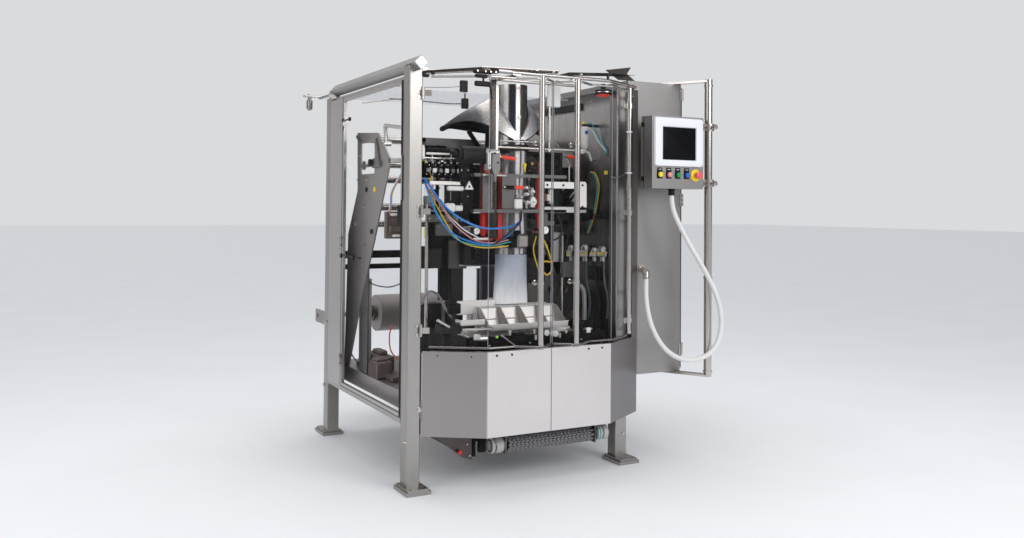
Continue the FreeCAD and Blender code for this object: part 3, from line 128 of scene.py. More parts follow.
def tube(path, radius, sides=10):
    """Round bar along a path: P(i, a) = path i + radius i (cos a side i + sin a up i)."""
    path = np.asarray(path, float)
    _, side, up = ring_frames(path)
    angle = np.linspace(0, TAU, sides, endpoint=False)[None, :, None]
    reach = np.broadcast_to(np.asarray(radius, float), len(path))[:, None, None]
    return loft(path[:, None] + reach * (np.cos(angle) * side[:, None] + np.sin(angle) * up[:, None]))


def circle_round(way, sides):
    """Unit circle of evenly spaced points square to a unit direction."""
    side = np.cross(way, (0, 0, 1) if abs(way[2]) < 0.9 else (0, 1, 0))
    side /= np.linalg.norm(side)
    up = np.cross(way, side)
    angle = np.linspace(0, TAU, sides, endpoint=False)[:, None]
    return np.cos(angle) * side + np.sin(angle) * up


def rod(start, end, radius, sides=14, chamfer=1.0):
    """Straight round bar with a small chamfer at both ends."""
    start, end = np.asarray(start, float), np.asarray(end, float)
    length = np.linalg.norm(end - start)
    way = (end - start) / length
    chamfer = min(chamfer, radius * 0.4, length * 0.2)
    path = [start, start + way * chamfer, end - way * chamfer, end]
    circle = circle_round(way, sides)
    radii = [radius - chamfer, radius, radius, radius - chamfer]
    return loft([p + r * circle for p, r in zip(path, radii)])


def turned(profile, base, way=(0, 0, 1), sides=20):
    """Body of revolution: P(k, a) = base + height k along way + radius k on a circle round it."""
    way = np.asarray(way, float)
    way = way / np.linalg.norm(way)
    circle = circle_round(way, sides)
    base = np.asarray(base, float)
    return loft([base + way * height + max(radius, 0.01) * circle for radius, height in profile])


def block(low, high, edge=1.5):
    """Box whose twelve edges carry a chamfer: four rings up Z, the outer two drawn in."""
    low, high = np.minimum(low, high).astype(float), np.maximum(low, high).astype(float)
    edge = min(edge, *(0.3 * (high - low)))
    signs = np.array([(-1, -1), (1, -1), (1, 1), (-1, 1)])
    centre, half = (low + high) / 2, (high - low) / 2

    def ring(inset, height):
        corners = []
        for sx, sy in signs:
            x, y = (half[0] - inset) * sx, (half[1] - inset) * sy
            first = (x - edge * sx, y) if sx * sy > 0 else (x, y - edge * sy)
            second = (x, y - edge * sy) if sx * sy > 0 else (x - edge * sx, y)
            corners += [second, first]
        return [(centre[0] + a, centre[1] + b, height) for a, b in corners]

    return loft([ring(edge, low[2]), ring(0, low[2] + edge), ring(0, high[2] - edge), ring(edge, high[2])])


def prism(corners, axis, start, end):
    """Flat plate of any outline, given in the other two axes in cyclic order and carried along one."""
    order = {"X": (1, 2, 0), "Y": (2, 0, 1), "Z": (0, 1, 2)}[axis]
    corners = np.asarray(corners, float)
    area = np.sum(corners[:, 0] * np.roll(corners[:, 1], -1) - np.roll(corners[:, 0], -1) * corners[:, 1])
    if area < 0:
        corners = corners[::-1]
    rings = []
    for level in sorted((start, end)):
        ring = np.empty((len(corners), 3))
        ring[:, order[0]], ring[:, order[1]], ring[:, order[2]] = corners[:, 0], corners[:, 1], level
        rings.append(ring)
    return loft(rings)


def rounded_outline(low, high, radius, steps=5):
    """Rectangle in two axes with quarter-round corners, anticlockwise."""
    (x0, y0), (x1, y1) = low, high
    angle = np.linspace(0, math.pi / 2, steps)
    corners = []
    for cx, cy, turn in ((x1 - radius, y1 - radius, 0), (x0 + radius, y1 - radius, 1),
                         (x0 + radius, y0 + radius, 2), (x1 - radius, y0 + radius, 3)):
        a = angle + turn * math.pi / 2
        corners.append(np.stack([cx + radius * np.cos(a), cy + radius * np.sin(a)], -1))
    return np.concatenate(corners)


def hexagon(centre, way, across, height):
    """Hexagon head or nut on a base point."""
    radius = across / math.sqrt(3)
    return turned([(radius * 0.9, 0), (radius, height * 0.12), (radius, height * 0.8),
                   (radius * 0.86, height)], centre, way, sides=6)


def cap_screw(at, way, radius=5.0, height=5.0):
    """Socket cap screw: a drum with a round recess, as one body of revolution."""
    return turned([(radius, 0), (radius, height * 0.85), (radius * 0.86, height), (radius * 0.5, height),
                   (radius * 0.45, height * 0.5)], at, way, sides=12)


def dome_screw(at, way, radius=6.0):
    """Low round head."""
    angle = np.linspace(0, math.pi / 2, 5)
    return turned([(radius * math.cos(a), radius * 0.45 * math.sin(a)) for a in angle], at, way, sides=14)


def spline(points, count=60, closed=False):
    """Smooth line through given points: a Catmull-Rom curve sampled at even parameter steps."""
    p = np.asarray(points, float)
    p = np.concatenate([p[-1:], p, p[:2]]) if closed else np.concatenate(
        [2 * p[:1] - p[1:2], p, 2 * p[-1:] - p[-2:-1]])
    runs = len(p) - 3
    u = np.linspace(0, runs, count, endpoint=not closed)
    k = np.minimum(u.astype(int), runs - 1)
    f = (u - k)[:, None]
    a, b, c, d = p[k], p[k + 1], p[k + 2], p[k + 3]
    return 0.5 * (2 * b + (c - a) * f + (2 * a - 5 * b + 4 * c - d) * f ** 2
                  + (3 * b - a - 3 * c + d) * f ** 3)


def turn_about(shape, centre, axis, degrees):
    """The same shape turned about an axis through a point."""
    points, faces = shape
    turn = np.array(Matrix.Rotation(math.radians(degrees), 3, axis))
    return (np.asarray(points) - centre) @ turn.T + centre, faces


def mirrored(shape, plane_x):
    """Mirror image across a plane of constant X, with its faces still outwards."""
    points, faces = np.array(shape[0], float), shape[1]
    points[:, 0] = 2 * plane_x - points[:, 0]
    return points, [face[::-1] for face in faces]


# Pieces and their finishes


def linear(hex_colour):
    """sRGB hex to linear RGBA."""
    values = [int(hex_colour[i:i + 2], 16) / 255 for i in (1, 3, 5)]
    return tuple(v / 12.92 if v <= 0.04045 else ((v + 0.055) / 1.055) ** 2.4 for v in values) + (1.0,)


def add(tree, kind, links=(), **settings):
    """One node with its settings; links pairs an input's name or number with an output socket.

    A setting whose name is not a property of the node is written to the input of that name."""
    node = tree.nodes.new(kind)
    for key, value in settings.items():
        if hasattr(node, key):
            setattr(node, key, value)
        else:
            title = key.replace("_", " ").title()
            node.inputs[key if key in node.inputs else title].default_value = value
    for target, source in links:
        tree.links.new(source, node.inputs[target])
    return node


# name: (hex colour, metallic, roughness, grain in mm along X, Y, Z, tone swing, bump in mm, slot)
FINISHES = {
    # Belt-ground stainless tube: fine streaks along its length, a soft broad sheen
    "ground_tube": ("#a3a09d", 1.0, 0.34, (1.6, 1.6, 120), 0.10, 0.012, "frame_steel"),
    "ground_tube_lengthwise": ("#aaa7a4", 1.0, 0.34, (1.6, 120, 1.6), 0.10, 0.012, "frame_steel"),
    # Brushed stainless sheet with a vertical grain, nearly even in tone
    "brushed_sheet": ("#b7b3b2", 1.0, 0.38, (1.2, 1.2, 160), 0.05, 0.006, "sheet_steel"),
    "cabinet_sheet": ("#a09e9d", 1.0, 0.40, (1.2, 1.2, 200), 0.05, 0.006, "cabinet_paint"),
    "drive_sheet": ("#5d5957", 0.85, 0.40, (1.4, 1.4, 90), 0.08, 0.006, "black_steel"),
    "seal_plate": ("#6b6968", 0.85, 0.44, (1.4, 1.4, 60), 0.10, 0.01, "bar_steel"),
    "cap_plastic": ("#b4b2b0", 0.0, 0.40, (1.5, 1.5, 1.5), 0.05, 0.02, "pale_plastic"),
    "brass": ("#8f7440", 1.0, 0.28, (2, 2, 2), 0.08, 0.004, "bright_bar"),
    "drive_brown": ("#6b5f5a", 0.4, 0.48, (2, 2, 2), 0.15, 0.02, "black_steel"),
    "lower_plate": ("#5a5654", 0.85, 0.44, (1.4, 1.4, 60), 0.10, 0.01, "sheet_steel"),
    # The same sheet inside the machine, its colour darkened as painted shade
    "inner_sheet_painted_light_and_shade": ("#5b5857", 1.0, 0.30, (1.5, 1.5, 220), 0.22, 0.006, "cabinet_paint"),
    # Ground and polished round bar
    "bright_bar": ("#c2bcb8", 1.0, 0.20, (30, 30, 2), 0.06, 0.004, "bright_bar"),
    # Bead-blasted aluminium plate and castings
    "blasted_plate": ("#8b8887", 0.9, 0.52, (0.9, 0.9, 0.9), 0.10, 0.02, "bar_steel"),
    "milled_aluminium": ("#c6c4c1", 1.0, 0.30, (2, 20, 2), 0.08, 0.008, "bar_steel"),
    # Darkened stainless plate in the cage and on the deck
    "grey_plate": ("#a39e9c", 0.85, 0.46, (1.4, 60, 1.4), 0.10, 0.01, "sheet_steel"),
    "bed_sheet": ("#9d9896", 0.9, 0.42, (60, 1.4, 1.4), 0.12, 0.01, "sheet_steel"),
    # Black oxide steel and anodised parts round the jaws
    "black_oxide": ("#121111", 0.4, 0.46, (1.5, 1.5, 1.5), 0.25, 0.02, "black_steel"),
    "dark_casting": ("#2a2726", 0.5, 0.52, (2.5, 2.5, 2.5), 0.20, 0.05, "black_steel"),
    # White powder coat on the small actuators
    "white_coat": ("#e2e0dc", 0.0, 0.42, (1.2, 1.2, 1.2), 0.04, 0.02, "pale_plastic"),
    # Red powder coat on the belt housings and red grips
    "red_coat": ("#d42414", 0.0, 0.36, (1.5, 1.5, 1.5), 0.10, 0.02, "bracket_red"),
    "red_grip": ("#ee3b25", 0.0, 0.30, (2, 2, 2), 0.05, 0.01, "stop_red"),
    "yellow_plastic": ("#f0d21c", 0.0, 0.38, (2, 2, 2), 0.05, 0.01, "button_plastic"),
    "green_lamp": ("#a4f23c", 0.0, 0.30, (2, 2, 2), 0.02, 0.0, "button_plastic"),
    "green_plastic": ("#1c8a45", 0.0, 0.32, (2, 2, 2), 0.05, 0.01, "button_plastic"),
    "blue_plastic": ("#1f5fc4", 0.0, 0.32, (2, 2, 2), 0.05, 0.01, "button_plastic"),
    "black_plastic": ("#191919", 0.0, 0.42, (1.4, 1.4, 1.4), 0.10, 0.03, "belt_rubber"),
    "rubber_seal": ("#141414", 0.0, 0.70, (1.0, 1.0, 1.0), 0.15, 0.03, "belt_rubber"),
    # Moulded white polycarbonate bezel
    "pale_bezel": ("#e6e7ec", 0.0, 0.34, (1.2, 1.2, 1.2), 0.02, 0.01, "pale_plastic"),
    "screen_glass": ("#0a0b0e", 0.0, 0.16, (40, 40, 40), 0.10, 0.0, "screen"),
    # Ribbed white PVC conduit and acetal belt links
    "white_hose": ("#dcdbda", 0.0, 0.46, (2, 2, 2), 0.05, 0.02, "hose_plastic"),
    "belt_links": ("#7b797c", 0.1, 0.48, (2, 2, 2), 0.12, 0.02, "belt_plastic"),
    "kraft_core": ("#8d6f4d", 0.0, 0.72, (1.5, 8, 8), 0.12, 0.04, "core_board"),
    # Wound film: the edges of many layers, slightly milky
    "wound_film": ("#958d8b", 0.0, 0.55, (400, 0.8, 0.8), 0.12, 0.02, "film"),
    # Polyurethane air lines and cable sheaths
    "blue_line": ("#1b78c8", 0.0, 0.32, (8, 8, 8), 0.06, 0.0, "hose_plastic"),
    "teal_line": ("#2a9aa0", 0.0, 0.34, (8, 8, 8), 0.06, 0.0, "hose_plastic"),
    "yellow_line": ("#d8b21e", 0.0, 0.36, (8, 8, 8), 0.06, 0.0, "hose_plastic"),
    "orange_line": ("#c98a2e", 0.0, 0.36, (8, 8, 8), 0.06, 0.0, "hose_plastic"),
    "pink_line": ("#c9868a", 0.0, 0.36, (8, 8, 8), 0.06, 0.0, "hose_plastic"),
    "grey_line": ("#77767a", 0.0, 0.40, (8, 8, 8), 0.06, 0.0, "hose_plastic"),
    "black_line": ("#161616", 0.0, 0.42, (8, 8, 8), 0.10, 0.0, "belt_rubber"),
    "red_line": ("#c4402c", 0.0, 0.40, (8, 8, 8), 0.06, 0.0, "stop_red"),
    "gauge_face": ("#eceae6", 0.0, 0.30, (5, 5, 5), 0.02, 0.0, "pale_plastic"),
    # Sheets whose tone the photograph sets apart
    "beam_cap": ("#dad8d8", 0.6, 0.45, (1.5, 1.5, 1.5), 0.04, 0.006, "sheet_steel"),
    "skirt_sheet": ("#c3bebe", 1.0, 0.36, (1.2, 1.2, 160), 0.05, 0.006, "sheet_steel"),
    "strip_sheet": ("#96918f", 1.0, 0.36, (1.2, 1.2, 160), 0.05, 0.006, "sheet_steel"),
    "dark_cover": ("#3a3836", 0.7, 0.40, (1.5, 1.5, 1.5), 0.12, 0.01, "black_steel"),
    # fold_line: a painted line for the light caught along the clear doors' bends; it also draws the doors'
    # meeting edge
    "fold_line": ("#8d8f95", 0.2, 0.30, (2, 2, 40), 0.08, 0.0, "sheet_steel"),
    "dark_tube": ("#4a4745", 1.0, 0.26, (30, 30, 2), 0.10, 0.004, "bright_bar"),
    "panel_sheet": ("#a09e9d", 1.0, 0.38, (1.2, 1.2, 120), 0.06, 0.006, "cabinet_paint"),
    "rim_lilac": ("#b3b4c6", 0.0, 0.35, (2, 2, 2), 0.03, 0.0, "pale_plastic"),
    "pale_red": ("#d98f88", 0.0, 0.34, (2, 2, 2), 0.05, 0.01, "button_plastic"),
    "stop_pink": ("#e2585c", 0.0, 0.30, (2, 2, 2), 0.05, 0.01, "stop_red"),
    "tube_steel_painted_reflections": ("#8f8a8d", 0.75, 0.24, (0.8, 0.8, 140), 0.12, 0.004, "sheet_steel"),
    "shoulder_steel_painted_light_and_shade": ("#8d8a90", 0.45, 0.28, (8, 8, 8), 0.06, 0.004, "sheet_steel"),
    "lip_steel": ("#d4d3d8", 1.0, 0.16, (8, 8, 8), 0.05, 0.002, "sheet_steel"),
    "seal_band": ("#b9b6bf", 0.0, 0.30, (3, 3, 60), 0.06, 0.0, "film"),
    "jaw_bright": ("#e6e2de", 0.35, 0.34, (140, 1.2, 1.2), 0.06, 0.006, "bar_steel"),
    "door_rod_painted_shade": ("#c2bcb8", 1.0, 0.20, (30, 30, 2), 0.06, 0.004, "bright_bar"),
    "cover_sheet": ("#c9c5c2", 1.0, 0.34, (140, 1.2, 1.2), 0.06, 0.006, "bar_steel"),
    "frame_sheet": ("#6b6767", 0.9, 0.40, (1.4, 60, 1.4), 0.10, 0.01, "sheet_steel"),
    "tray_sheet": ("#595351", 0.9, 0.42, (60, 1.4, 1.4), 0.10, 0.01, "sheet_steel"),
}


# Finishes whose colour changes across the piece: axis and the colours met along it, in mm. Most of these
# ramps are painted shade, highlight and reflection
GRADES = {
    # Painted light and shade on the inner wall: bright under the roof, dark behind the machinery
    "inner_sheet_painted_light_and_shade": ("Z", ((444, "#4a4745"), (1100, "#3f3c3b"), (1500, "#4d4a48"), (1650, "#6d6a68"),
                          (1760, "#a8a3a1"), (1900, "#c4bfbc"), (2000, "#cbc6c3"), (2040, "#85817f"),
                          (2086, "#5b5856"))),
    # Painted light and shade on the skirt's facets: the middle bright, the turned-back sides darker, the
    # right one most
    "skirt_sheet": ("X", ((-600, "#a39e9e"), (-312, "#a39e9e"), (-307, "#dad5d5"), (428, "#dad5d5"),
                          (433, "#8d8989"), (640, "#868282"))),
    # Painted shade and highlight on the shoulder: its wings darker where they turn away from the light
    # outside the hanging frame, bright in the middle
    "shoulder_steel_painted_light_and_shade": ("X", ((-267, "#2a2a2c"), (-200, "#49494c"), (-130, "#6d6c70"), (-104, "#bdb8b3"),
                             (40, "#e9e5e0"), (120, "#d2d2d5"), (200, "#77777b"), (391, "#4a4a4e"))),
    # Painted upright reflections of the polished tube
    "tube_steel_painted_reflections": ("X", ((-30, "#3c3a39"), (-26, "#4a4846"), (-18, "#e0dbd6"), (2, "#d0cbc7"),
                         (10, "#34353c"), (36, "#3a3b42"), (44, "#d3ceca"), (62, "#bdb8b4"),
                         (72, "#5a5754"), (150, "#4a4846"))),
    # Painted shade on the doors' bottom rods, where they lie in the shade of the skirt's edge
    "door_rod_painted_shade": ("Z", ((640, "#56524f"), (706, "#5d5956"), (716, "#c2bcb8"), (2100, "#c2bcb8"))),
    # The filled bag: bluish under the tube, whiter towards its foot
    "bag_film": ("Z", ((872, "#f6f5f7"), (930, "#eaeaef"), (1000, "#cdd0d9"), (1080, "#b1b7c5"),
                       (1147, "#9fa6b5"))),
}


def graded(tree, place, axis, steps):
    """Colour ramp along one axis of the machine, from the first step's place to the last one's."""
    apart = add(tree, "ShaderNodeSeparateXYZ", [("Vector", place.outputs["Object"])])
    first, last = steps[0][0], steps[-1][0]
    share = add(tree, "ShaderNodeMapRange", [("Value", apart.outputs[axis])], From_Min=first * MM,
                From_Max=last * MM)
    tone = add(tree, "ShaderNodeValToRGB", [("Fac", share.outputs[0])])
    ramp = tone.color_ramp
    ramp.elements[0].color, ramp.elements[1].color = linear(steps[0][1]), linear(steps[-1][1])
    for at, colour in steps[1:-1]:
        ramp.elements.new((at - first) / (last - first)).color = linear(colour)
    return tone.outputs[0]


# Finishes that shine less than the usual half
SHEEN = {"screen_glass": 0.12, "black_oxide": 0.10, "dark_casting": 0.2, "black_plastic": 0.25}


def make_finish(name):
    """Opaque finish: streaked noise on object coordinates tints it, varies its gloss and bumps it."""
    colour, metallic, roughness, grain, swing, bump, slot = FINISHES[name]
    material = bpy.data.materials.new(name)
    material.use_nodes = True
    tree = material.node_tree
    shader = tree.nodes["Principled BSDF"]
    base = linear(colour)
    place = add(tree, "ShaderNodeTexCoord")
    stretch = add(tree, "ShaderNodeMapping", [("Vector", place.outputs["Object"])],
                  Scale=tuple(1 / (g * MM) for g in grain))
    fine = add(tree, "ShaderNodeTexNoise", [("Vector", stretch.outputs[0])], Scale=1.0, Detail=3.0)
    broad = add(tree, "ShaderNodeTexNoise", [("Vector", place.outputs["Object"])], Scale=2.6, Detail=2.0)
    both = add(tree, "ShaderNodeMath", [(0, fine.outputs[0]), (1, broad.outputs[0])], operation="ADD")
    tint = add(tree, "ShaderNodeMapRange", [("Value", both.outputs[0])], From_Min=0.6, From_Max=1.4)
    tint.inputs["To Min"].default_value, tint.inputs["To Max"].default_value = 1 - swing, 1 + swing
    shade = add(tree, "ShaderNodeVectorMath", [(0, tint.outputs[0])], operation="MULTIPLY")
    shade.inputs[1].default_value = base[:3]
    if name in GRADES:
        tree.links.new(graded(tree, place, *GRADES[name]), shade.inputs[1])
    tree.links.new(shade.outputs[0], shader.inputs["Base Color"])
    gloss = add(tree, "ShaderNodeMapRange", [("Value", fine.outputs[0])], From_Min=0.3, From_Max=0.7)
    gloss.inputs["To Min"].default_value = roughness * (1 - swing)
    gloss.inputs["To Max"].default_value = min(1.0, roughness * (1 + swing))
    tree.links.new(gloss.outputs[0], shader.inputs["Roughness"])
    shader.inputs["Metallic"].default_value = metallic
    shader.inputs["Specular IOR Level"].default_value = SHEEN.get(name, 0.5)
    if bump:
        relief = add(tree, "ShaderNodeBump", [("Height", fine.outputs[0])], Strength=0.5)
        relief.inputs["Distance"].default_value = bump * MM
        tree.links.new(relief.outputs[0], shader.inputs["Normal"])
    return material


def make_clear(name, colour, alpha, roughness, slot, streak, gloss):
    """See-through sheet: a thin coloured body by alpha, with a soft gloss and faint rub marks."""
    material = bpy.data.materials.new(name)
    material.use_nodes = True
    tree = material.node_tree
    shader = tree.nodes["Principled BSDF"]
    shader.inputs["Base Color"].default_value = linear(colour)
    shader.inputs["Roughness"].default_value = roughness
    shader.inputs["Specular IOR Level"].default_value = gloss
    place = add(tree, "ShaderNodeTexCoord")
    if name in GRADES:
        tree.links.new(graded(tree, place, *GRADES[name]), shader.inputs["Base Color"])
    stretch = add(tree, "ShaderNodeMapping", [("Vector", place.outputs["Object"])], Scale=(40, 40, 4))
    marks = add(tree, "ShaderNodeTexNoise", [("Vector", stretch.outputs[0])], Scale=1.0, Detail=2.0)
    body = add(tree, "ShaderNodeMapRange", [("Value", marks.outputs[0])], From_Min=0.35, From_Max=0.75)
    body.inputs["To Min"].default_value, body.inputs["To Max"].default_value = alpha, alpha + streak
    tree.links.new(body.outputs[0], shader.inputs["Alpha"])
    return material


CLEAR_FINISHES = {
    # Polycarbonate guard sheet, 5 mm, clear; the roof's sheet is milky with dust
    "clear_sheet": ("#c9ced2", 0.003, 0.05, "clear_pane", 0.008, 0.05),
    "roof_sheet": ("#e6e6f4", 0.24, 0.20, "clear_pane", 0.04, 0.2),
    # Blown polyethylene film: milky where it is folded double
    "bag_film": ("#c3c6d4", 0.86, 0.22, "film", 0.12, 0.6),
    "thin_film": ("#cfccd0", 0.07, 0.20, "film", 0.08, 0.4),
}
MATERIALS = {}


def finish(name):
    """The named material, made once."""
    if name not in MATERIALS:
        MATERIALS[name] = (make_clear(name, *CLEAR_FINISHES[name]) if name in CLEAR_FINISHES
                           else make_finish(name))
    return MATERIALS[name]


def piece(name, shapes, material, body="root", replaces=(), smooth=35):
    """Joins shapes into one mesh object that rides on a body and takes a finish."""
    points, faces, offset = [], [], 0
    for shape_points, shape_faces in shapes:
        points.append(np.asarray(shape_points, float))
        faces += [[i + offset for i in face] for face in shape_faces]
        offset += len(shape_points)
    mesh = bpy.data.meshes.new(name)
    mesh.from_pydata((np.concatenate(points) * MM).tolist(), [], faces)
    mesh.update()
    if smooth:
        mesh.shade_smooth()
        mesh.set_sharp_from_angle(angle=math.radians(smooth))
    thing = bpy.data.objects.new(name, mesh)
    bpy.context.scene.collection.objects.link(thing)
    mesh.materials.append(finish(material))
    if body:
        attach(thing, body)
    if replaces:
        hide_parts(*replaces)
    return thing


def coat(material, *nodes):
    """Gives CAD nodes a finish."""
    for name in nodes:
        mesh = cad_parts[name].data
        mesh.materials.clear()
        mesh.materials.append(finish(material))
        mesh.shade_smooth()
        mesh.set_sharp_from_angle(angle=math.radians(30))


def box_mm(node):
    """Lowest and highest corner of a CAD node, in millimetres."""
    low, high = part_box(node)
    return np.array(low) / MM, np.array(high) / MM


# Sizes that several groups share, read from the frame
LEG_LOW = box_mm("leg_front_left")[0]
PANEL_LOW, PANEL_HIGH = box_mm("panel_box")
TUBE_LOW, TUBE_HIGH = box_mm("forming_tube")
BELT_LOW, BELT_HIGH = box_mm("conveyor_belt")
TUBE_X, TUBE_Y = (TUBE_LOW[0] + TUBE_HIGH[0]) / 2, (TUBE_LOW[1] + TUBE_HIGH[1]) / 2
TUBE_R = (TUBE_HIGH[0] - TUBE_LOW[0]) / 2
FRONT = -657.0
LEG_LEFT = -667.0
COLLAR_LOW, COLLAR_RISE, COLLAR_HALF, COLLAR_SWELL = 1768.0, 312.0, 329.0, 26.0
LEFTWARDS, RIGHTWARDS, FORWARDS, BACKWARDS = (-1, 0, 0), (1, 0, 0), (0, -1, 0), (0, 1, 0)
UPWARDS = (0, 0, 1)
ROLLERS = [(-60, 1640), (0, 1782), (140, 1560), (284, 1800), (190, 1400), (330, 1300)]

# The hose's route from the panel's gland to the elbow on the cabinet
HOSE_ROUTE = [
    (842, -822.5, 1491.6), (842, -823, 1440), (856, -831, 1376), (882, -842, 1316), (914, -852, 1254),
    (948, -864, 1192), (986, -876, 1128), (1026, -886, 1062), (1066, -892, 996), (1102, -895, 928),
    (1130, -895, 858), (1144, -892, 786), (1142, -888, 714), (1118, -886, 648), (1070, -886, 600),
    (1004, -880, 574), (934, -868, 566), (866, -850, 582), (808, -826, 622), (768, -800, 684),
    (746, -774, 754), (738, -752, 826), (738, -736, 896), (744, -724, 962), (752, -716, 1018),
]


class MachineSizes(bpy.types.PropertyGroup):
    """Sizes and colours that a user would change."""

    hose_diameter: bpy.props.FloatProperty(
        name="Hose diameter", description="Outside of the white conduit", default=0.027, unit="LENGTH")
    screw_radius: bpy.props.FloatProperty(
        name="Cover screw radius", description="Head radius of the small cover screws", default=0.006,
        unit="LENGTH")
    line_diameter: bpy.props.FloatProperty(
        name="Air line diameter", description="Outside of the coloured air lines", default=0.008,
        unit="LENGTH")
    floor_colour: bpy.props.StringProperty(
        name="Floor colour", description="sRGB hex colour of the studio floor", default="#f0f1f3")


class CameraSettings(bpy.types.PropertyGroup):
    """The photograph's viewpoint."""

    position: bpy.props.FloatVectorProperty(
        name="Position", description="Camera position", default=(-2.419, -4.798, 1.403),
        subtype="TRANSLATION")
    yaw: bpy.props.FloatProperty(
        name="Yaw", description="Turn from +Y towards +X", default=math.radians(27.39), subtype="ANGLE")
    rise: bpy.props.FloatProperty(
        name="Rise", description="Upward tilt", default=math.radians(1.03), subtype="ANGLE")
    roll: bpy.props.FloatProperty(
        name="Roll", description="Roll about the view", default=math.radians(0.48), subtype="ANGLE")
    lens: bpy.props.FloatProperty(
        name="Lens", description="Focal length on a 36 mm sensor", default=31.92, min=1)
    shift: bpy.props.FloatVectorProperty(
        name="Shift", description="Lens shift in picture widths", default=(0.0322, -0.0762), size=2)


# Stage: camera, floor, world and lamps


def place_camera(settings):
    """Camera axes from yaw, rise and roll: forward, then right and up turned about it."""
    yaw, rise, roll = settings.yaw, settings.rise, settings.roll
    forward = Vector((math.sin(yaw) * math.cos(rise), math.cos(yaw) * math.cos(rise), math.sin(rise)))
    right = Vector((math.cos(yaw), -math.sin(yaw), 0))
    up = right.cross(forward)
    right, up = right * math.cos(roll) + up * math.sin(roll), up * math.cos(roll) - right * math.sin(roll)
    data = bpy.data.cameras.new("photo_camera")
    data.sensor_width, data.lens = 36, settings.lens
    data.shift_x, data.shift_y = settings.shift
    camera = bpy.data.objects.new("photo_camera", data)
    camera.matrix_world = Matrix.Translation(settings.position) @ Matrix(
        (right, up, -forward)).transposed().to_4x4()
    bpy.context.scene.collection.objects.link(camera)
    bpy.context.scene.camera = camera


def light(name, at, towards, size, power, colour=(1, 1, 1)):
    """Square soft box that faces a point."""
    data = bpy.data.lights.new(name, "AREA")
    data.size, data.energy, data.color = size, power, colour
    lamp = bpy.data.objects.new(name, data)
    lamp.matrix_world = Matrix.Translation(at) @ (
        Vector(at) - Vector(towards)).to_track_quat("Z", "Y").to_matrix().to_4x4()
    bpy.context.scene.collection.objects.link(lamp)


# Compass angle in degrees from straight ahead, positive to the right, and what the metals see there
REFLECTED = ((-157, "#f0f0f0"), (-138, "#6e6e70"), (-90, "#8c8c8e"), (-38, "#a4a4a6"), (0, "#d2d2d2"),
             (30, "#ffffff"), (44, "#b4b4b6"), (90, "#58585a"), (140, "#a0a0a2"))


def make_world():
    """Pale studio round the machine: brightest in front on the right, darker at both sides.

    What the metals reflect is a ramp over the compass angle atan2(x, -y) of the direction."""
    world = bpy.data.worlds.new("studio")
    world.use_nodes = True
    bpy.context.scene.world = world
    tree = world.node_tree
    tree.nodes.clear()
    place = add(tree, "ShaderNodeTexCoord")
    way = add(tree, "ShaderNodeSeparateXYZ", [("Vector", place.outputs["Generated"])])
    ahead = add(tree, "ShaderNodeMath", [(0, way.outputs["Y"])], operation="MULTIPLY")
    ahead.inputs[1].default_value = -1.0
    compass = add(tree, "ShaderNodeMath", [(0, way.outputs["X"]), (1, ahead.outputs[0])], operation="ARCTAN2")
    share = add(tree, "ShaderNodeMapRange", [("Value", compass.outputs[0])], From_Min=-math.pi,
                From_Max=math.pi)
    tone = add(tree, "ShaderNodeValToRGB", [("Fac", share.outputs[0])])
    ramp = tone.color_ramp
    ramp.elements[0].color = ramp.elements[1].color = linear("#e2e2e2")
    for degrees, colour in REFLECTED:
        ramp.elements.new((degrees + 180) / 360).color = linear(colour)
    seen = add(tree, "ShaderNodeBackground", [("Color", tone.outputs[0])], Strength=0.9)
    fill = add(tree, "ShaderNodeBackground", Color=linear("#f2f4f7"), Strength=0.85)
    backdrop = add(tree, "ShaderNodeBackground", Color=linear("#dadbdd"), Strength=1.0)
    ray = add(tree, "ShaderNodeLightPath")
    gloss = add(tree, "ShaderNodeMixShader", [(0, ray.outputs["Is Glossy Ray"]), (1, fill.outputs[0]),
                                              (2, seen.outputs[0])])
    direct = add(tree, "ShaderNodeMath", [(0, ray.outputs["Is Camera Ray"]),
                                          (1, ray.outputs["Is Transmission Ray"])], operation="MAXIMUM")
    mix = add(tree, "ShaderNodeMixShader", [(0, direct.outputs[0]), (1, gloss.outputs[0]),
                                            (2, backdrop.outputs[0])])
    add(tree, "ShaderNodeOutputWorld", [("Surface", mix.outputs[0])])


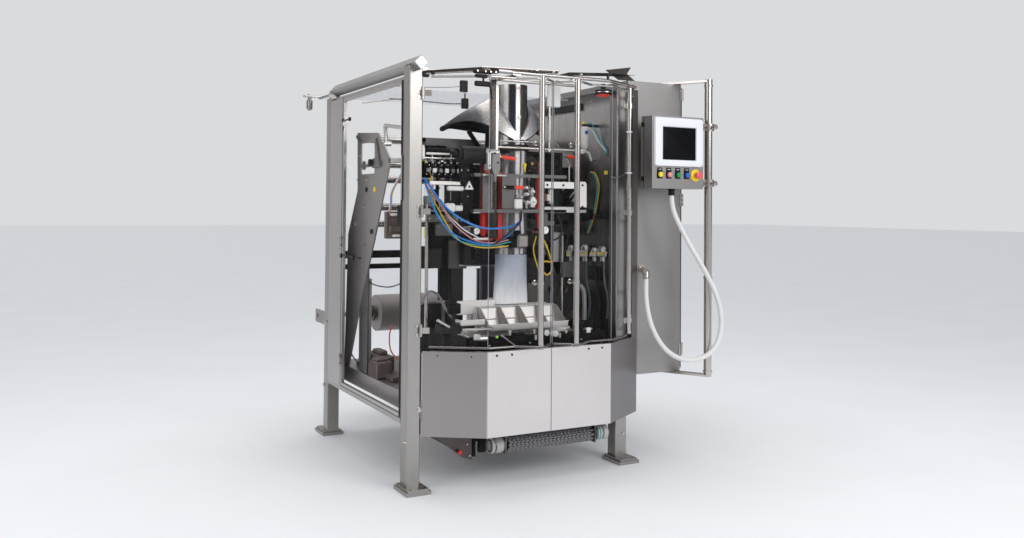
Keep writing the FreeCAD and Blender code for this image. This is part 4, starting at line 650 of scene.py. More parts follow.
def build_stage(settings, sizes):
    """Camera, floor, backdrop tone and three soft lamps."""
    place_camera(settings)
    make_world()
    bpy.context.scene.view_settings.view_transform = "Standard"
    side = 60000.0
    floor = piece("studio_floor",
                  [prism([(-side, -side), (side, -side), (side, side), (-side, side)], "Z", -20, 0)],
                  "pale_bezel", body=None)
    ground = bpy.data.materials.new("painted_floor")
    ground.use_nodes = True
    tree = ground.node_tree
    shader = tree.nodes["Principled BSDF"]
    place = add(tree, "ShaderNodeTexCoord")
    speckle = add(tree, "ShaderNodeTexNoise", [("Vector", place.outputs["Object"])], Scale=1.5, Detail=3.0)
    tint = add(tree, "ShaderNodeMapRange", [("Value", speckle.outputs[0])], From_Min=0.3, From_Max=0.7)
    tint.inputs["To Min"].default_value, tint.inputs["To Max"].default_value = 0.985, 1.015
    shade = add(tree, "ShaderNodeVectorMath", [(0, tint.outputs[0])], operation="MULTIPLY")
    shade.inputs[1].default_value = linear(sizes.floor_colour)[:3]
    tree.links.new(shade.outputs[0], shader.inputs["Base Color"])
    shader.inputs["Roughness"].default_value = 0.6
    floor.data.materials.clear()
    floor.data.materials.append(ground)
    light("key_box", (1.6, -5.2, 3.4), (0.1, -0.3, 1.1), 2.6, 90)
    light("side_box", (-4.6, -1.6, 2.8), (0, 0, 1.0), 2.2, 30)
    light("top_box", (0.2, 0.4, 4.6), (0.1, -0.2, 0.8), 2.8, 55)


# Groups of pieces


def screws(places, way, radius, kind=dome_screw):
    """The same screw at many places."""
    return [kind(place, way, radius) for place in places]


def cable(name, route, diameter, material, body="root", sides=8):
    """A thin line or cable through given points."""
    return piece(name, [tube(spline(route, 12 * len(route)), diameter / 2, sides)], material, body)


def ring_band(centre, way, radius, width, wall=2.5, sides=24):
    """A clip or ferrule round a bar."""
    return turned([(radius, 0), (radius + wall, 0.6), (radius + wall, width - 0.6), (radius, width)],
                  centre, way, sides)


def bevelled(width, *nodes):
    """Breaks the edges of CAD nodes with a narrow round."""
    for name in nodes:
        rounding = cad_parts[name].modifiers.new("edge", "BEVEL")
        rounding.width, rounding.segments = width * MM, 2
        rounding.limit_method, rounding.angle_limit = "ANGLE", math.radians(40)
        rounding.harden_normals = True


def build_frame(sizes):
    """Square tubes, beam end, weld nuts, rail clips and the hanging knob behind the beam."""
    coat("ground_tube", "leg_front_left", "leg_front_right", "leg_back_left", "leg_back_right")
    coat("ground_tube_lengthwise", "top_beam", "side_rails")
    coat("brushed_sheet", "side_strip")
    coat("bed_sheet", "bed")
    bevelled(1.2, "side_strip", "side_rails", "bed")
    build_beam_end()
    bolts = []
    for x, y, z, way in ((LEG_LEFT, -640, 238, LEFTWARDS), (LEG_LEFT, 640, 300, LEFTWARDS),
                         (LEG_LEFT, 612, 690, LEFTWARDS), (-598, FRONT, 396, FORWARDS),
                         (640, FRONT, 150, FORWARDS)):
        bolts.append(hexagon((x, y, z), way, 17, 9))
        bolts.append(turned([(13, -1), (13, 2), (10, 3)], (x, y, z), way))
    bolts += screws([(-618, FRONT, z) for z in (1964, 1373, 789)], FORWARDS, 4.5)
    bolts += screws([(LEG_LEFT, 610, z) for z in (1925, 1300, 1240, 1100, 950, 560)], LEFTWARDS, 3.5)
    piece("frame_bolts", bolts, "bright_bar")
    clips = [block((-646, y - 9, 2034), (-634, y + 9, 2050), 2) for y in (-420, -180, -60, 120, 300, 430)]
    piece("header_clips", clips, "black_plastic")
    post_hook = [block((-640, 640, 2096), (-616, 918, 2108), 2),
                 block((-742, 884, 2104), (-612, 916, 2116), 2),
                 turned([(5, 0), (17, 8), (20, 20), (20, 62), (12, 70), (12, 88)], (-704, 900, 2017),
                        sides=18),
                 hexagon((-704, 900, 2116), UPWARDS, 19, 9)]
    piece("beam_arm", post_hook, "ground_tube")
    build_side_door()


def build_beam_end():
    """Weld-on cap of the beam's front end: the tube's own section, a little larger, with a rounded face."""
    half = 50.8 * math.sqrt(2) / 2
    beam_low, beam_high = box_mm("top_beam")
    middle, centre_z = LEG_LOW[0] + 65, beam_high[2] - half
    rings = []
    for y, reach in ((beam_low[1], 1.0), (beam_low[1] - 1.5, 1.0), (beam_low[1] - 3.5, 0.94)):
        rings.append([(middle + half * reach * math.cos(a), y, centre_z + half * reach * math.sin(a))
                      for a in np.linspace(0, TAU, 4, endpoint=False)])
    piece("beam_end_cap", [loft(rings)], "beam_cap")


def build_side_door():
    """Gasket on the front post with its jog, door latches and hinge stubs."""
    coat("clear_sheet", "side_door_pane")
    coat("brushed_sheet", "side_door_frame")
    seal = []
    for low, high, y in ((352, 1437, -575), (1437, 1663, -590), (1663, 2040, -575)):
        seal.append(block((-671, y, low), (-664, y + 9, high), 2))
    piece("door_gasket", seal, "rubber_seal")
    arms = [block((-676, 190, 1903), (-668, 318, 1911), 2), block((-676, 0, 1110), (-668, 318, 1118), 2),
            block((-680, 196, 1896), (-667, 214, 1918), 2), block((-680, 110, 1100), (-667, 128, 1126), 2),
            block((-676, 330, 1895), (-666, 350, 1921), 2), block((-676, 330, 1098), (-666, 350, 1124), 2)]
    piece("door_stays", arms, "black_plastic", "side_door")
    slim = screws([(-668, 380, z) for z in (1300, 1150, 860)], LEFTWARDS, 3)
    piece("strip_screws", slim, "black_plastic")


def build_guards(sizes):
    """Clear doors with their rods, clips and hinges, the fixed bars over them and the skirt below."""
    coat("clear_sheet", "guard_door_left_pane", "guard_door_right_pane")
    # The rods' colour carries painted shade at their feet
    coat("door_rod_painted_shade", "guard_door_left_rods", "guard_door_right_rods")
    coat("bright_bar", "guard_hinges_left", "guard_hinge_rod", "guard_top_rail", "hanging_frame")
    # The skirt's colour carries painted shade on its side facets and painted light on its middle
    coat("skirt_sheet", "skirt_left", "skirt_right")
    coat("strip_sheet", "guard_strip_right")
    coat("dark_cover", "roof_sheet")
    coat("roof_sheet", "roof_pane")
    bevelled(0.8, "skirt_left", "skirt_right", "hanging_frame")
    piece("hanging_strip", [block((-178, -606, 1708), (-149, -599.7, 2084), 1)], "dark_tube")
    piece("hanging_box", [block((170, -615, 1951), (246, -589.7, 2066), 4),
                          block((240, -622, 1996), (243, -615, 2010), 1)], "white_coat")
    radius = sizes.screw_radius / MM
    piece("skirt_screws", screws([(-521, -701, 666), (-378, -792, 664)], (-0.537, -0.843, 0), radius * 0.7)
          + screws([(x, -835.5, 668) for x in (-258, -172, 289, 374)], FORWARDS, radius), "dark_casting")
    piece("skirt_seam", [block((58.6, -836, 270), (61.4, -834, 684), 0.3)], "rubber_seal")
    for side, body, handle_x in ((-1, "guard_door_left", -46), (1, "guard_door_right", 166)):
        bend_x = -310 if side < 0 else 430
        # A thin tube along each bend paints the light caught along the clear door's fold
        fold = tube([(bend_x, -835.6, 704), (bend_x, -835.6, 2056)], 1.8, 8)
        piece(body + "_fold", [fold], "fold_line", body)
        seam_x = 55.5 if side < 0 else 64.5
        piece(body + "_edge", [block((seam_x - 1, -836, 702), (seam_x + 1, -829, 2058), 0.3)], "fold_line",
              body)
        fittings = [turned([(6, -1), (15.5, 1.5), (15.5, 6)], (handle_x, -900, z), way, 18)
                    for z, way in ((2064, (0, 0, -1)), (696, (0, 0, 1)))]
        for z in (1024, 1730):
            fittings.append(ring_band((handle_x, -900, z - 9), UPWARDS, 15, 18))
            fittings.append(rod((handle_x, -886, z), (handle_x, -836, z), 6.5))
            fittings.append(turned([(13, 0), (13, 4), (9, 6)], (handle_x, -835.5, z), FORWARDS, 16))
        piece(body + "_fittings", fittings, "bright_bar", body)
    clips = [ring_band((627, -722, z - 7), UPWARDS, 15, 14) for z in (1977, 1390, 817, 723)]
    clips += [rod((640, -716, z), (676, -694, z), 5) for z in (1977, 1390, 817)]
    piece("hinge_rod_clips", clips, "bright_bar")
    piece("hinge_rod_ties", [ring_band((627, -722, z - 4), UPWARDS, 15, 8) for z in (1827, 1600)],
          "pale_bezel")
    cable("guard_sensor_line", [(560, -640, 1580), (590, -660, 1576), (612, -690, 1590), (617, -706, 1622),
                                (616, -707, 1700)], 4.0, "grey_line")
    build_guard_top()


def build_guard_top():
    """Tubes, blocks and latch over the doors, as far as the posts and the fixed rail carry them."""
    upper = [rod((-588, -652, 2076), (-345, -806, 2092), 9), rod((-345, -806, 2092), (90, -828, 2103), 7)]
    piece("upper_tube", upper, "dark_tube")
    # Thin bright rods along the dark tubes paint their highlights
    piece("upper_tube_painted_highlights", [rod((-350, -818, 2099), (92, -838, 2110), 4),
                                rod((-580, -662, 2068), (-352, -806, 2081), 5)], "bright_bar")
    blocks = [block((-598, -664, 2052), (-560, -640, 2080), 3),
              block((-560, -690, 2063), (-540, -668, 2084), 3),
              block((-396, -843, 2064), (-296, -812, 2084), 4),
              block((-300, -845, 2070), (-262, -812, 2096), 3)]
    piece("guard_latch", blocks, "dark_casting")
    keeper = [block((-396, -850, 2040), (-330, -835.6, 2058), 3),
              block((-399, -853, 1998), (-312, -835.6, 2024), 4),
              rod((-352, -845, 2024), (-352, -845, 2042), 5), rod((-318, -843, 2024), (-302, -843, 1940), 4)]
    piece("guard_keeper", keeper, "dark_casting", "guard_door_left")
    piece("guard_light_bar", [block((-268, -842, 2080), (-182, -834, 2090), 2)], "beam_cap")
    studs = [hexagon((x, -836, 2098), UPWARDS, 13, 8) for x in (-40, 60, 230)]
    studs += [cap_screw((x, -844, 2074), FORWARDS, 5, 4) for x in (-384, -340, -310, -282)]
    piece("guard_top_screws", studs, "bright_bar")
    corner = prism([(2155, 451), (2182, 619), (2144, 592), (2109, 646), (2107, 538)], "Y", -745, -738)
    piece("roof_corner", [corner], "dark_cover")
    stands = [block((-98, -88, 2071.2), (-56, -58, 2140), 3), block((-88, -84, 1976), (-48, -60, 2036), 3),
              rod((-68, -72, 2034), (-68, -72, 2066), 4)]
    piece("roof_stands", stands, "dark_casting")
    cable("roof_wire_high", [(-615, -60, 2074), (-420, -66, 2080), (-200, -70, 2092), (-86, -72, 2106)], 4.0,
          "grey_line")
    cable("roof_wire_low", [(-590, -200, 1990), (-400, -160, 1994), (-200, -100, 1996), (-86, -72, 2004)],
          7.0, "grey_line")


def build_cabinet(sizes):
    """Cabinet sheets, its lining inside the machine, hinges, lock and the pipe beside it."""
    coat("cabinet_sheet", "cabinet_body", "cabinet_door")
    # The inner wall's colour is painted shade, with painted light under the roof
    coat("inner_sheet_painted_light_and_shade", "inner_wall")
    coat("bright_bar", "panel_post", "hose_elbow")
    bevelled(1.0, "cabinet_door", "panel_post")
    hinges = []
    for z in (2030, 1420, 560):
        for part in range(3):
            hinges.append(rod((1052, -662, z + part * 24), (1052, -662, z + part * 24 + 22), 7))
        hinges.append(block((1036, -661, z), (1050, -656.5, z + 70), 1))
    piece("cabinet_hinges", hinges, "bright_bar")
    piece("cabinet_door_gasket", [block((1046, -659, 486), (1050, -655, 2108), 1)], "rubber_seal")
    lock = [turned([(16, 0), (16, 4), (12, 6), (6, 6.5)], (1067.5, 540, 1300), (1, 0, 0), 18),
            block((1070, 534, 1230), (1084, 546, 1300), 3)]
    piece("cabinet_lock", lock, "black_plastic")
    seams = [block((664.4, y - 1.5, 444), (667.2, y + 1.5, 2086), 0.5) for y in (-300, 160)]
    piece("liner_seams", seams, "rubber_seal")
    piece("liner_rivets", screws([(663.6, y, z) for y in (-290, 170) for z in (620, 980, 1340, 1700, 2040)],
                                 LEFTWARDS, 5), "bright_bar")
    fitting = [ring_band((752, -716, 1010), (0, 0.12, 1), 14, 12, 4),
               ring_band((753, -713, 1030), (0, 0.15, 1), 15, 9, 4)]
    piece("elbow_nuts", fitting, "bright_bar")
    eyes = [ring_band((1107, -820, z), UPWARDS, 22, 10, 4) for z in (2098, 482, 1010)]
    piece("pipe_rings", eyes, "bright_bar")
    arms = [cap_screw((960 + 24 * k, -567 - 40 * k, 2136), UPWARDS, 6, 6) for k in (0, 1)]
    piece("arm_bolts", arms, "bright_bar")


def build_panel(sizes):
    """Operator panel's face: bezel, display, buttons with plates, emergency stop, clamps and gland."""
    coat("panel_sheet", "panel_box")
    coat("bright_bar", "panel_clamps")
    coat("black_plastic", "hose_gland")
    build_display()
    build_buttons()
    back = []
    for z in (PANEL_LOW[2] + 40, PANEL_HIGH[2] - 60):
        back += [block((PANEL_LOW[0] - 4, PANEL_HIGH[1] - 26, z),
                       (PANEL_LOW[0] + 6, PANEL_HIGH[1] - 2, z + 26), 2)]
    piece("panel_side_catches", back, "black_plastic", "operator_panel")
    seam = [block((PANEL_LOW[0] - 0.8, PANEL_HIGH[1] - 24, PANEL_LOW[2] + 4),
                  (PANEL_LOW[0] + 1, PANEL_HIGH[1] - 19, PANEL_HIGH[2] - 4), 0.3),
            block((PANEL_LOW[0] + 4, PANEL_HIGH[1] - 24, PANEL_HIGH[2] - 1),
                  (PANEL_HIGH[0] - 4, PANEL_HIGH[1] - 19, PANEL_HIGH[2] + 0.8), 0.3)]
    piece("panel_back_seal", seam, "rubber_seal", "operator_panel")
    gland = [turned([(20, 0), (20, 8), (16, 10), (16, 20), (18, 21), (18, 34), (14.2, 36)],
                    (842, -822.5, 1513), (0, 0, -1), 12)]
    piece("hose_gland_nut", gland, "black_plastic", "operator_panel", ["hose_gland"])
    knobs = []
    for z in (1548, 1866):
        knobs.append(turned([(6, 0), (6, 16), (13, 18), (15, 30), (12, 34)], (1107, -852, z), FORWARDS, 10))
        knobs += [cap_screw((1062, -836, z + dz), FORWARDS, 5, 5) for dz in (-10, 10)]
    piece("clamp_knobs", knobs, "bright_bar", "operator_panel")


def build_display():
    """Moulded bezel with a rounded outline, a sloped inner rim and a bare black screen."""
    low, high = box_mm("panel_bezel")
    face = PANEL_LOW[1]
    rings = []
    for inset, depth in ((0, 0), (0, 9), (3, 14), (12, 17), (42, 17), (48, 15), (52, 9)):
        raised = 16 * (1 - inset / 52)
        outline = rounded_outline((low[0] + inset, low[2] + inset + raised),
                                  (high[0] - inset, high[2] - inset),
                                  max(15 - inset * 0.22, 4))
        rings.append([(x, face - depth, z) for x, z in outline])
    points, faces = loft(rings, capped=False)
    piece("display_bezel", [(points, faces)], "pale_bezel", "operator_panel", ["panel_bezel"])
    window = ((low[0] + 52, low[2] + 52), (high[0] - 52, high[2] - 52))
    glass = [[(x, face - depth, z) for x, z in rounded_outline(
        (window[0][0] - grow, window[0][1] - grow), (window[1][0] + grow, window[1][1] + grow), 4)]
             for grow, depth in ((2, 1), (2, 9), (0, 9.6))]
    piece("display_glass", [loft(glass)], "screen_glass", "operator_panel", ["panel_screen"])
    rim = [[(x, face - 13 - grow * 0.35, z) for x, z in rounded_outline(
        (window[0][0] - grow, window[0][1] - grow), (window[1][0] + grow, window[1][1] + grow), 5)]
           for grow in (1.5, 10)]
    rim_points, rim_faces = loft(rim, capped=False)
    piece("display_rim_line", [(rim_points, rim_faces)], "rim_lilac", "operator_panel")


def build_buttons():
    """Four push buttons with guards and black legend plates, and the mushroom stop on its yellow ring."""
    low, _ = box_mm("panel_buttons")
    face, height = PANEL_LOW[1], low[2] + 14
    places = [(low[0] + 14 + 62 * k) for k in range(4)]
    collars, plates = [], []
    for x in places:
        collars.append(turned([(19, 0), (19, 3), (16, 6), (15, 7)], (x, face, height), FORWARDS, 24))
        plates.append(block((x - 17, face - 2.5, height + 20), (x + 17, face, height + 38), 1))
        plates.append(block((x - 19, face - 1.5, height - 22), (x + 19, face, height + 22), 1))
    piece("button_collars", collars, "black_plastic", "operator_panel", ["panel_buttons"])
    piece("button_plates", plates, "black_plastic", "operator_panel")
    marks = [block((x - 9, face - 3.4, height + 27), (x + 9, face - 2.4, height + 30), 0.2) for x in places]
    piece("legend_marks", marks, "pale_bezel", "operator_panel")
    for x, colour in zip(places, ("yellow_plastic", "pale_red", "green_plastic", "blue_plastic")):
        cap = turned([(14, 5), (14, 13), (11, 16), (0.5, 16.5)], (x, face, height), FORWARDS, 24)
        piece("button_" + colour, [cap], colour, "operator_panel")
    stop_low, stop_high = box_mm("emergency_stop")
    centre = ((stop_low[0] + stop_high[0]) / 2, face, height)
    piece("stop_ring", [turned([(34, 0), (34, 4), (30, 7), (16, 8)], centre, FORWARDS, 32)], "yellow_plastic",
          "operator_panel")
    mushroom = turned([(12, 6), (12, 24), (19, 27), (21.5, 31), (20.5, 38), (12, 41.5), (0.5, 42)], centre,
                      FORWARDS, 32)
    piece("stop_mushroom", [mushroom], "stop_pink", "operator_panel", ["emergency_stop"])


def route_points(name, route, resolution=8):
    """Points read from the smooth NURBS line whose control points are the route."""
    curve = bpy.data.curves.new(name, "CURVE")
    curve.dimensions = "3D"
    curve.resolution_u = resolution
    line = curve.splines.new("NURBS")
    line.points.add(len(route) - 1)
    for point, place in zip(line.points, route):
        point.co = (*(v * MM for v in place), 1)
    line.order_u = 3
    line.use_endpoint_u = True
    holder = bpy.data.objects.new(name, curve)
    bpy.context.scene.collection.objects.link(holder)
    bpy.context.view_layer.update()
    mesh = bpy.data.meshes.new_from_object(holder.evaluated_get(bpy.context.evaluated_depsgraph_get()))
    points = np.array([v.co for v in mesh.vertices]) / MM
    bpy.data.objects.remove(holder)
    bpy.data.meshes.remove(mesh)
    if np.linalg.norm(points[0] - route[0]) > np.linalg.norm(points[-1] - route[0]):
        points = points[::-1]
    return points


def build_hose(sizes):
    """White conduit between the swivelling panel and the cabinet."""
    path = route_points("hose_line", HOSE_ROUTE)
    radius = sizes.hose_diameter / 2 / MM
    hose = piece("panel_conduit", [tube(path, radius, 20)], "white_hose", body=None, replaces=["panel_hose"])
    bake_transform(hose)


# Forming set: the shoulder's edge and rim follow the same sums as the solid


def collar_edge(turn):
    """Points where the sheet meets the tube, r = tube radius + 3.5, rising with sin(turn / 2)."""
    radius = TUBE_R + 3.5
    return np.stack([TUBE_X - radius * np.sin(turn), TUBE_Y - radius * np.cos(turn),
                     COLLAR_LOW + COLLAR_RISE * np.sin(turn / 2)], -1)


def collar_rim(turn):
    """Points of the outer rim: an arch from the seam to the wing tip, then a straight run to the heel."""
    seam = collar_edge(np.zeros(1))[0] + (0, -2, -6)
    tip = np.array((TUBE_X - COLLAR_HALF, TUBE_Y + 220, COLLAR_LOW + 85))
    heel = np.array((TUBE_X, TUBE_Y + 300, COLLAR_LOW + 67))
    quarter = math.radians(95)
    share = np.clip(turn / quarter, 1e-9, 1)[:, None]
    way = tip - seam
    front = seam + np.concatenate([way[0] * share ** 0.65, way[1] * share ** 1.5,
                                   way[2] * share + 62 * np.sin(math.pi * share)], -1)
    back = np.clip((turn - quarter) / (math.pi - quarter), 0, 1)[:, None]
    return np.where(turn[:, None] <= quarter, front, tip + (heel - tip) * back)


def collar_strip(first, last, rows=8, columns=60, lift=0.0, out=1.0):
    """Ruled surface S(turn, v) = (1 - v) edge + v rim between two shares v, lifted and drawn outwards.

    Between the two it swells upwards by COLLAR_SWELL sin(pi v) sin(turn)."""
    turn = np.linspace(math.radians(3), math.pi, columns)
    share = np.linspace(first, last, rows)[None, :, None]
    inner, outer = collar_edge(turn)[:, None], collar_rim(turn)[:, None]
    surface = (1 - share) * inner + share * outer
    swell = COLLAR_SWELL * np.sin(math.pi * share[..., 0]) * np.sin(turn)[:, None]
    surface[..., 2] += lift + swell
    surface[..., :2] = (surface[..., :2] - (TUBE_X, TUBE_Y)) * out + (TUBE_X, TUBE_Y)
    return surface


def build_forming(sizes):
    """Forming tube with its film sleeve, the polished shoulder, its stay and the filled bag."""
    # The forming tube's colour carries painted reflections
    coat("tube_steel_painted_reflections", "forming_tube")
    coat("dark_casting", "collar_support")
    # The shoulder's sheet carries painted shade on its wings and a painted highlight in the middle
    wing = grid(collar_strip(0.0, 1.0), 2.0)
    piece("shoulder_sheet", [wing, mirrored(wing, TUBE_X)], "shoulder_steel_painted_light_and_shade", replaces=["forming_collar"])
    # A dark sheet under the shoulder paints the shade on its underside
    under = grid(collar_strip(0.05, 0.995, lift=-3.2), -0.6)
    piece("shoulder_underside_painted_shade", [under, mirrored(under, TUBE_X)], "dark_casting")
    lip = grid(collar_strip(0.0, 0.13, rows=3, lift=2.5, out=1.002), 2.0)
    piece("shoulder_lip", [lip, mirrored(lip, TUBE_X)], "lip_steel")
    turn = np.linspace(math.radians(3), math.pi, 60)
    blunt = 3.2 + 12 * np.exp(-((turn - math.radians(95)) / 0.16) ** 2)
    hem = tube(collar_rim(turn) + np.stack([0 * blunt, 0 * blunt, 4 - blunt], -1), blunt, 10)
    piece("shoulder_rim", [hem, mirrored(hem, TUBE_X)], "dark_casting")
    build_film()
    stay = [tube([(-208, -400, 1817), (-180, -400, 1780), (-152, -400, 1743), (-140, -396, 1712)], 13, 6),
            block((-176, -420, 1704), (120, -388, 1716), 2)]
    piece("shoulder_stay", stay, "black_oxide")
    ring = [turned([(10, 0), (10, 4), (6, 5), (6, 2)], (TUBE_X, TUBE_Y - 86, 1900), FORWARDS, 20)]
    ring += [rod((-52, -490, 1765), (175, -490, 1765), 5), rod((-58, -494, 1726), (-58, -494, 1772), 4)]
    piece("tube_bolt_ring", ring, "bright_bar")


def film_tube(low, high, flat_from, half_wide, half_deep, ripple, rows=36, around=72):
    """Film sleeve that flattens towards its foot, with soft folds along it.

    r(a, t) follows x = W cos a, y = D sin a with W and D blended from the tube's radius by
    s = smoothstep(t), times 1 + ripple t (sin 7a + 0.6 sin(13a + 2))."""
    t = np.linspace(0, 1, rows)[:, None]
    angle = np.linspace(0, TAU, around, endpoint=False)[None, :]
    s = np.clip((t - flat_from) / (1 - flat_from), 0, 1)
    s = s * s * (3 - 2 * s)
    wide = (TUBE_R + 3) * (1 - s) + half_wide * s
    deep = (TUBE_R + 3) * (1 - s) + half_deep * s
    folds = 1 + ripple * t * (np.sin(7 * angle) + 0.6 * np.sin(13 * angle + 2))
    x = TUBE_X + wide * np.cos(angle) * folds
    y = TUBE_Y + deep * np.sin(angle) * folds
    z = np.broadcast_to(high + (low - high) * t, x.shape)
    return np.stack([x, y, z], -1)[::-1]


def build_film():
    """The bag below the tube, the sleeve round it and the web from the rollers to the shoulder."""
    bag_low, bag_high = box_mm("film_bag")
    bag = film_tube(bag_low[2], bag_high[2], 0.0, 108, 26, 0.012)
    piece("film_pouch", [loft(bag)], "bag_film", replaces=["film_bag"])
    sleeve = film_tube(1147, COLLAR_LOW - 4, 0.99, TUBE_R + 3, TUBE_R + 3, 0.004)
    points, faces = loft(sleeve, capped=False)
    piece("film_sleeve", [(points, faces)], "thin_film")
    band = np.stack([np.stack([TUBE_X + 14 + 6 * np.sin(t * 9) + u, np.full_like(t, TUBE_Y - TUBE_R - 6.5),
                               1150 + t * (COLLAR_LOW - 1160)], -1) for t in (np.linspace(0, 1, 30),)
                     for u in (-9, 9)], 0)
    piece("film_back_seal", [grid(band, 0.4)], "seal_band")


# Roller cage and film unwind


def build_unwind(sizes):
    """Wound roll with its layered ends, the core, cage plates with their fittings, and the web."""
    coat("grey_plate", "cage_plates", "unwind_arms")
    coat("dark_casting", "back_bars")
    coat("kraft_core", "roll_core")
    bevelled(1.0, "unwind_arms", "back_bars", "cage_plates")
    low, high = box_mm("film_roll")
    centre_y, centre_z = (low[1] + high[1]) / 2, (low[2] + high[2]) / 2
    radius, core = (high[1] - low[1]) / 2, (box_mm("roll_core")[1][1] - box_mm("roll_core")[0][1]) / 2
    profile = [(core, 0), (core + 20, 0.8), (core + 21, 0), (radius - 14, 0.6), (radius - 13, 0),
               (radius - 1.5, 0),
               (radius, 1.5), (radius, high[0] - low[0] - 1.5), (radius - 1.5, high[0] - low[0]),
               (core, high[0] - low[0])]
    body = turned(profile + [(core, 0)], (low[0], centre_y, centre_z), RIGHTWARDS, 72)
    piece("wound_roll", [body], "wound_film", "film_roll", ["film_roll"])
    chucks = []
    for x, way in ((-250, LEFTWARDS), (346, RIGHTWARDS)):
        chucks.append(turned([(52, 2), (52, 12), (44, 16), (30, 17), (30, 30), (17, 32)],
                             (x, centre_y, centre_z), way, 32))
        chucks += [cap_screw((x + way[0] * 16, centre_y + 37 * math.cos(a), centre_z + 37 * math.sin(a)), way,
                             4.5, 5)
                   for a in np.linspace(0, TAU, 4, endpoint=False)]
    piece("roll_chucks", chucks, "tray_sheet", "film_roll")
    build_rollers()
    build_cage_fittings()


def build_rollers():
    """Idler rollers turned with shoulders and journals, on the places of the solid ones."""
    shapes = []
    for y, z in ROLLERS:
        profile = [(8, 0), (8, 6), (18, 7), (20.5, 9), (22, 14), (22, 1140), (20.5, 1145), (18, 1147),
                   (8, 1148), (8, 1154)]
        shapes.append(turned(profile, (-577, y, z), RIGHTWARDS, 24))
    piece("idler_rollers", shapes, "bright_bar", replaces=["film_rollers"])
    ends = []
    for y, z in ROLLERS:
        ends.append(hexagon((-585, y, z), LEFTWARDS, 17, 7))
        ends.append(turned([(13, 0), (13, 2)], (-585, y, z), LEFTWARDS, 16))
    piece("roller_nuts", ends, "bright_bar")
    runs = [((-60 - 22, 1640), (0 - 22, 1782)), ((0 + 12, 1800), (284, 1822)),
            ((140 + 22, 1560), (190 - 22, 1400)),
            ((-60 + 22, 1640), (140 - 20, 1565))]
    webs = []
    for (y0, z0), (y1, z1) in runs:
        share = np.linspace(0, 1, 8)
        line = np.stack([y0 + (y1 - y0) * share, z0 + (z1 - z0) * share], -1)
        webs.append(grid(np.stack([np.stack([np.full(8, x), line[:, 0], line[:, 1]], -1) for x in (-220,
                                                                                                   330)], 0),
                         0.4))
    piece("film_web", webs, "thin_film")


def build_cage_fittings():
    """Crank, dancer links, bearings, knobs and cables on the cage's left plate."""
    face = -585
    arm = spline([(face - 26, -216, 1738), (face - 26, -206, 1790), (face - 26, -198, 1828),
                  (face - 26, -216, 1840),
                  (face - 26, -300, 1830), (face - 26, -430, 1815)], 30)
    crank = [tube(arm, 10, 12), turned([(17, -6), (17, 6)], (face - 26, -200, 1836), LEFTWARDS, 16),
             rod((face, -216, 1742), (face - 40, -216, 1742), 13)]
    piece("cage_crank", crank, "milled_aluminium")
    piece("cage_drive", [block((-575, -130, 1226), (-460, -100, 1376), 4),
                         block((-560, -150, 1262), (-480, -128, 1300), 5),
                         turned([(24, 0), (24, 10), (18, 12)], (-520, -130, 1340), FORWARDS, 20)],
          "drive_brown")
    piece("cage_drive_caps", [block((-552, -166, 1352), (-500, -130, 1366), 4),
                              block((-540, -160, 1236), (-500, -132, 1250), 4)], "white_coat")
    links = [block((face - 12, -30, 1619), (face, 40, 1674), 4),
             block((face - 10, 40, 1628), (face, 208, 1646), 2),
             turned([(26, 0), (26, 8), (12, 10), (12, 20)], (face, 186, 1640), LEFTWARDS, 24),
             turned([(20, 0), (20, 12), (8, 14)], (face, -60, 1640), LEFTWARDS, 20),
             prism([(-75, 1630), (-45, 1630), (20, 1776), (-8, 1790)], "X", face - 8, face),
             prism([(246, 1776), (318, 1808), (318, 1826), (246, 1796)], "X", face - 8, face)]
    piece("cage_links", links, "blasted_plate")
    knob = [turned([(9, 0), (9, 10), (20, 12), (22, 18), (20, 28), (14, 30)], (face, 44, 1650), LEFTWARDS,
                   18),
            turned([(14, 0), (14, 6), (11, 8)], (face, 150, 1500), LEFTWARDS, 16),
            turned([(14, 0), (14, 6), (11, 8)], (face, 60, 1260), LEFTWARDS, 16)]
    piece("cage_knobs", knob, "black_plastic")
    heads = [(260, 1700), (300, 1560), (90, 1440), (160, 1180), (260, 980), (350, 760), (420, 560),
             (10, 1706), (410, 1180), (450, 900)]
    piece("cage_screws", [cap_screw((face, y, z), LEFTWARDS, 6, 6) for y, z in heads], "bright_bar")
    box_rail = [block((face, -212, 1640), (-300, -188, 1668), 3),
                block((-300, -212, 1560), (-282, -188, 1668), 3)]
    piece("dancer_rail", box_rail, "grey_plate")
    for name, shift, material in (("a", 0, "blue_line"), ("b", -10, "orange_line"), ("c", 12, "pale_bezel")):
        cable("cage_cable_" + name, [(face + 25, -340 + shift, 1600), (face + 25, -246 + shift, 1536),
                                     (face + 25, -172 + shift, 1476), (face + 25, -160 + shift, 1407),
                                     (face + 35, -110 + shift, 1350)], 7.0, material)
    piece("cage_dot", [turned([(14, 0), (14, 5), (11, 6)], (face, 17, 1499), LEFTWARDS, 18)],
          "yellow_plastic")


# Pull belts, seal units and everything round the tube

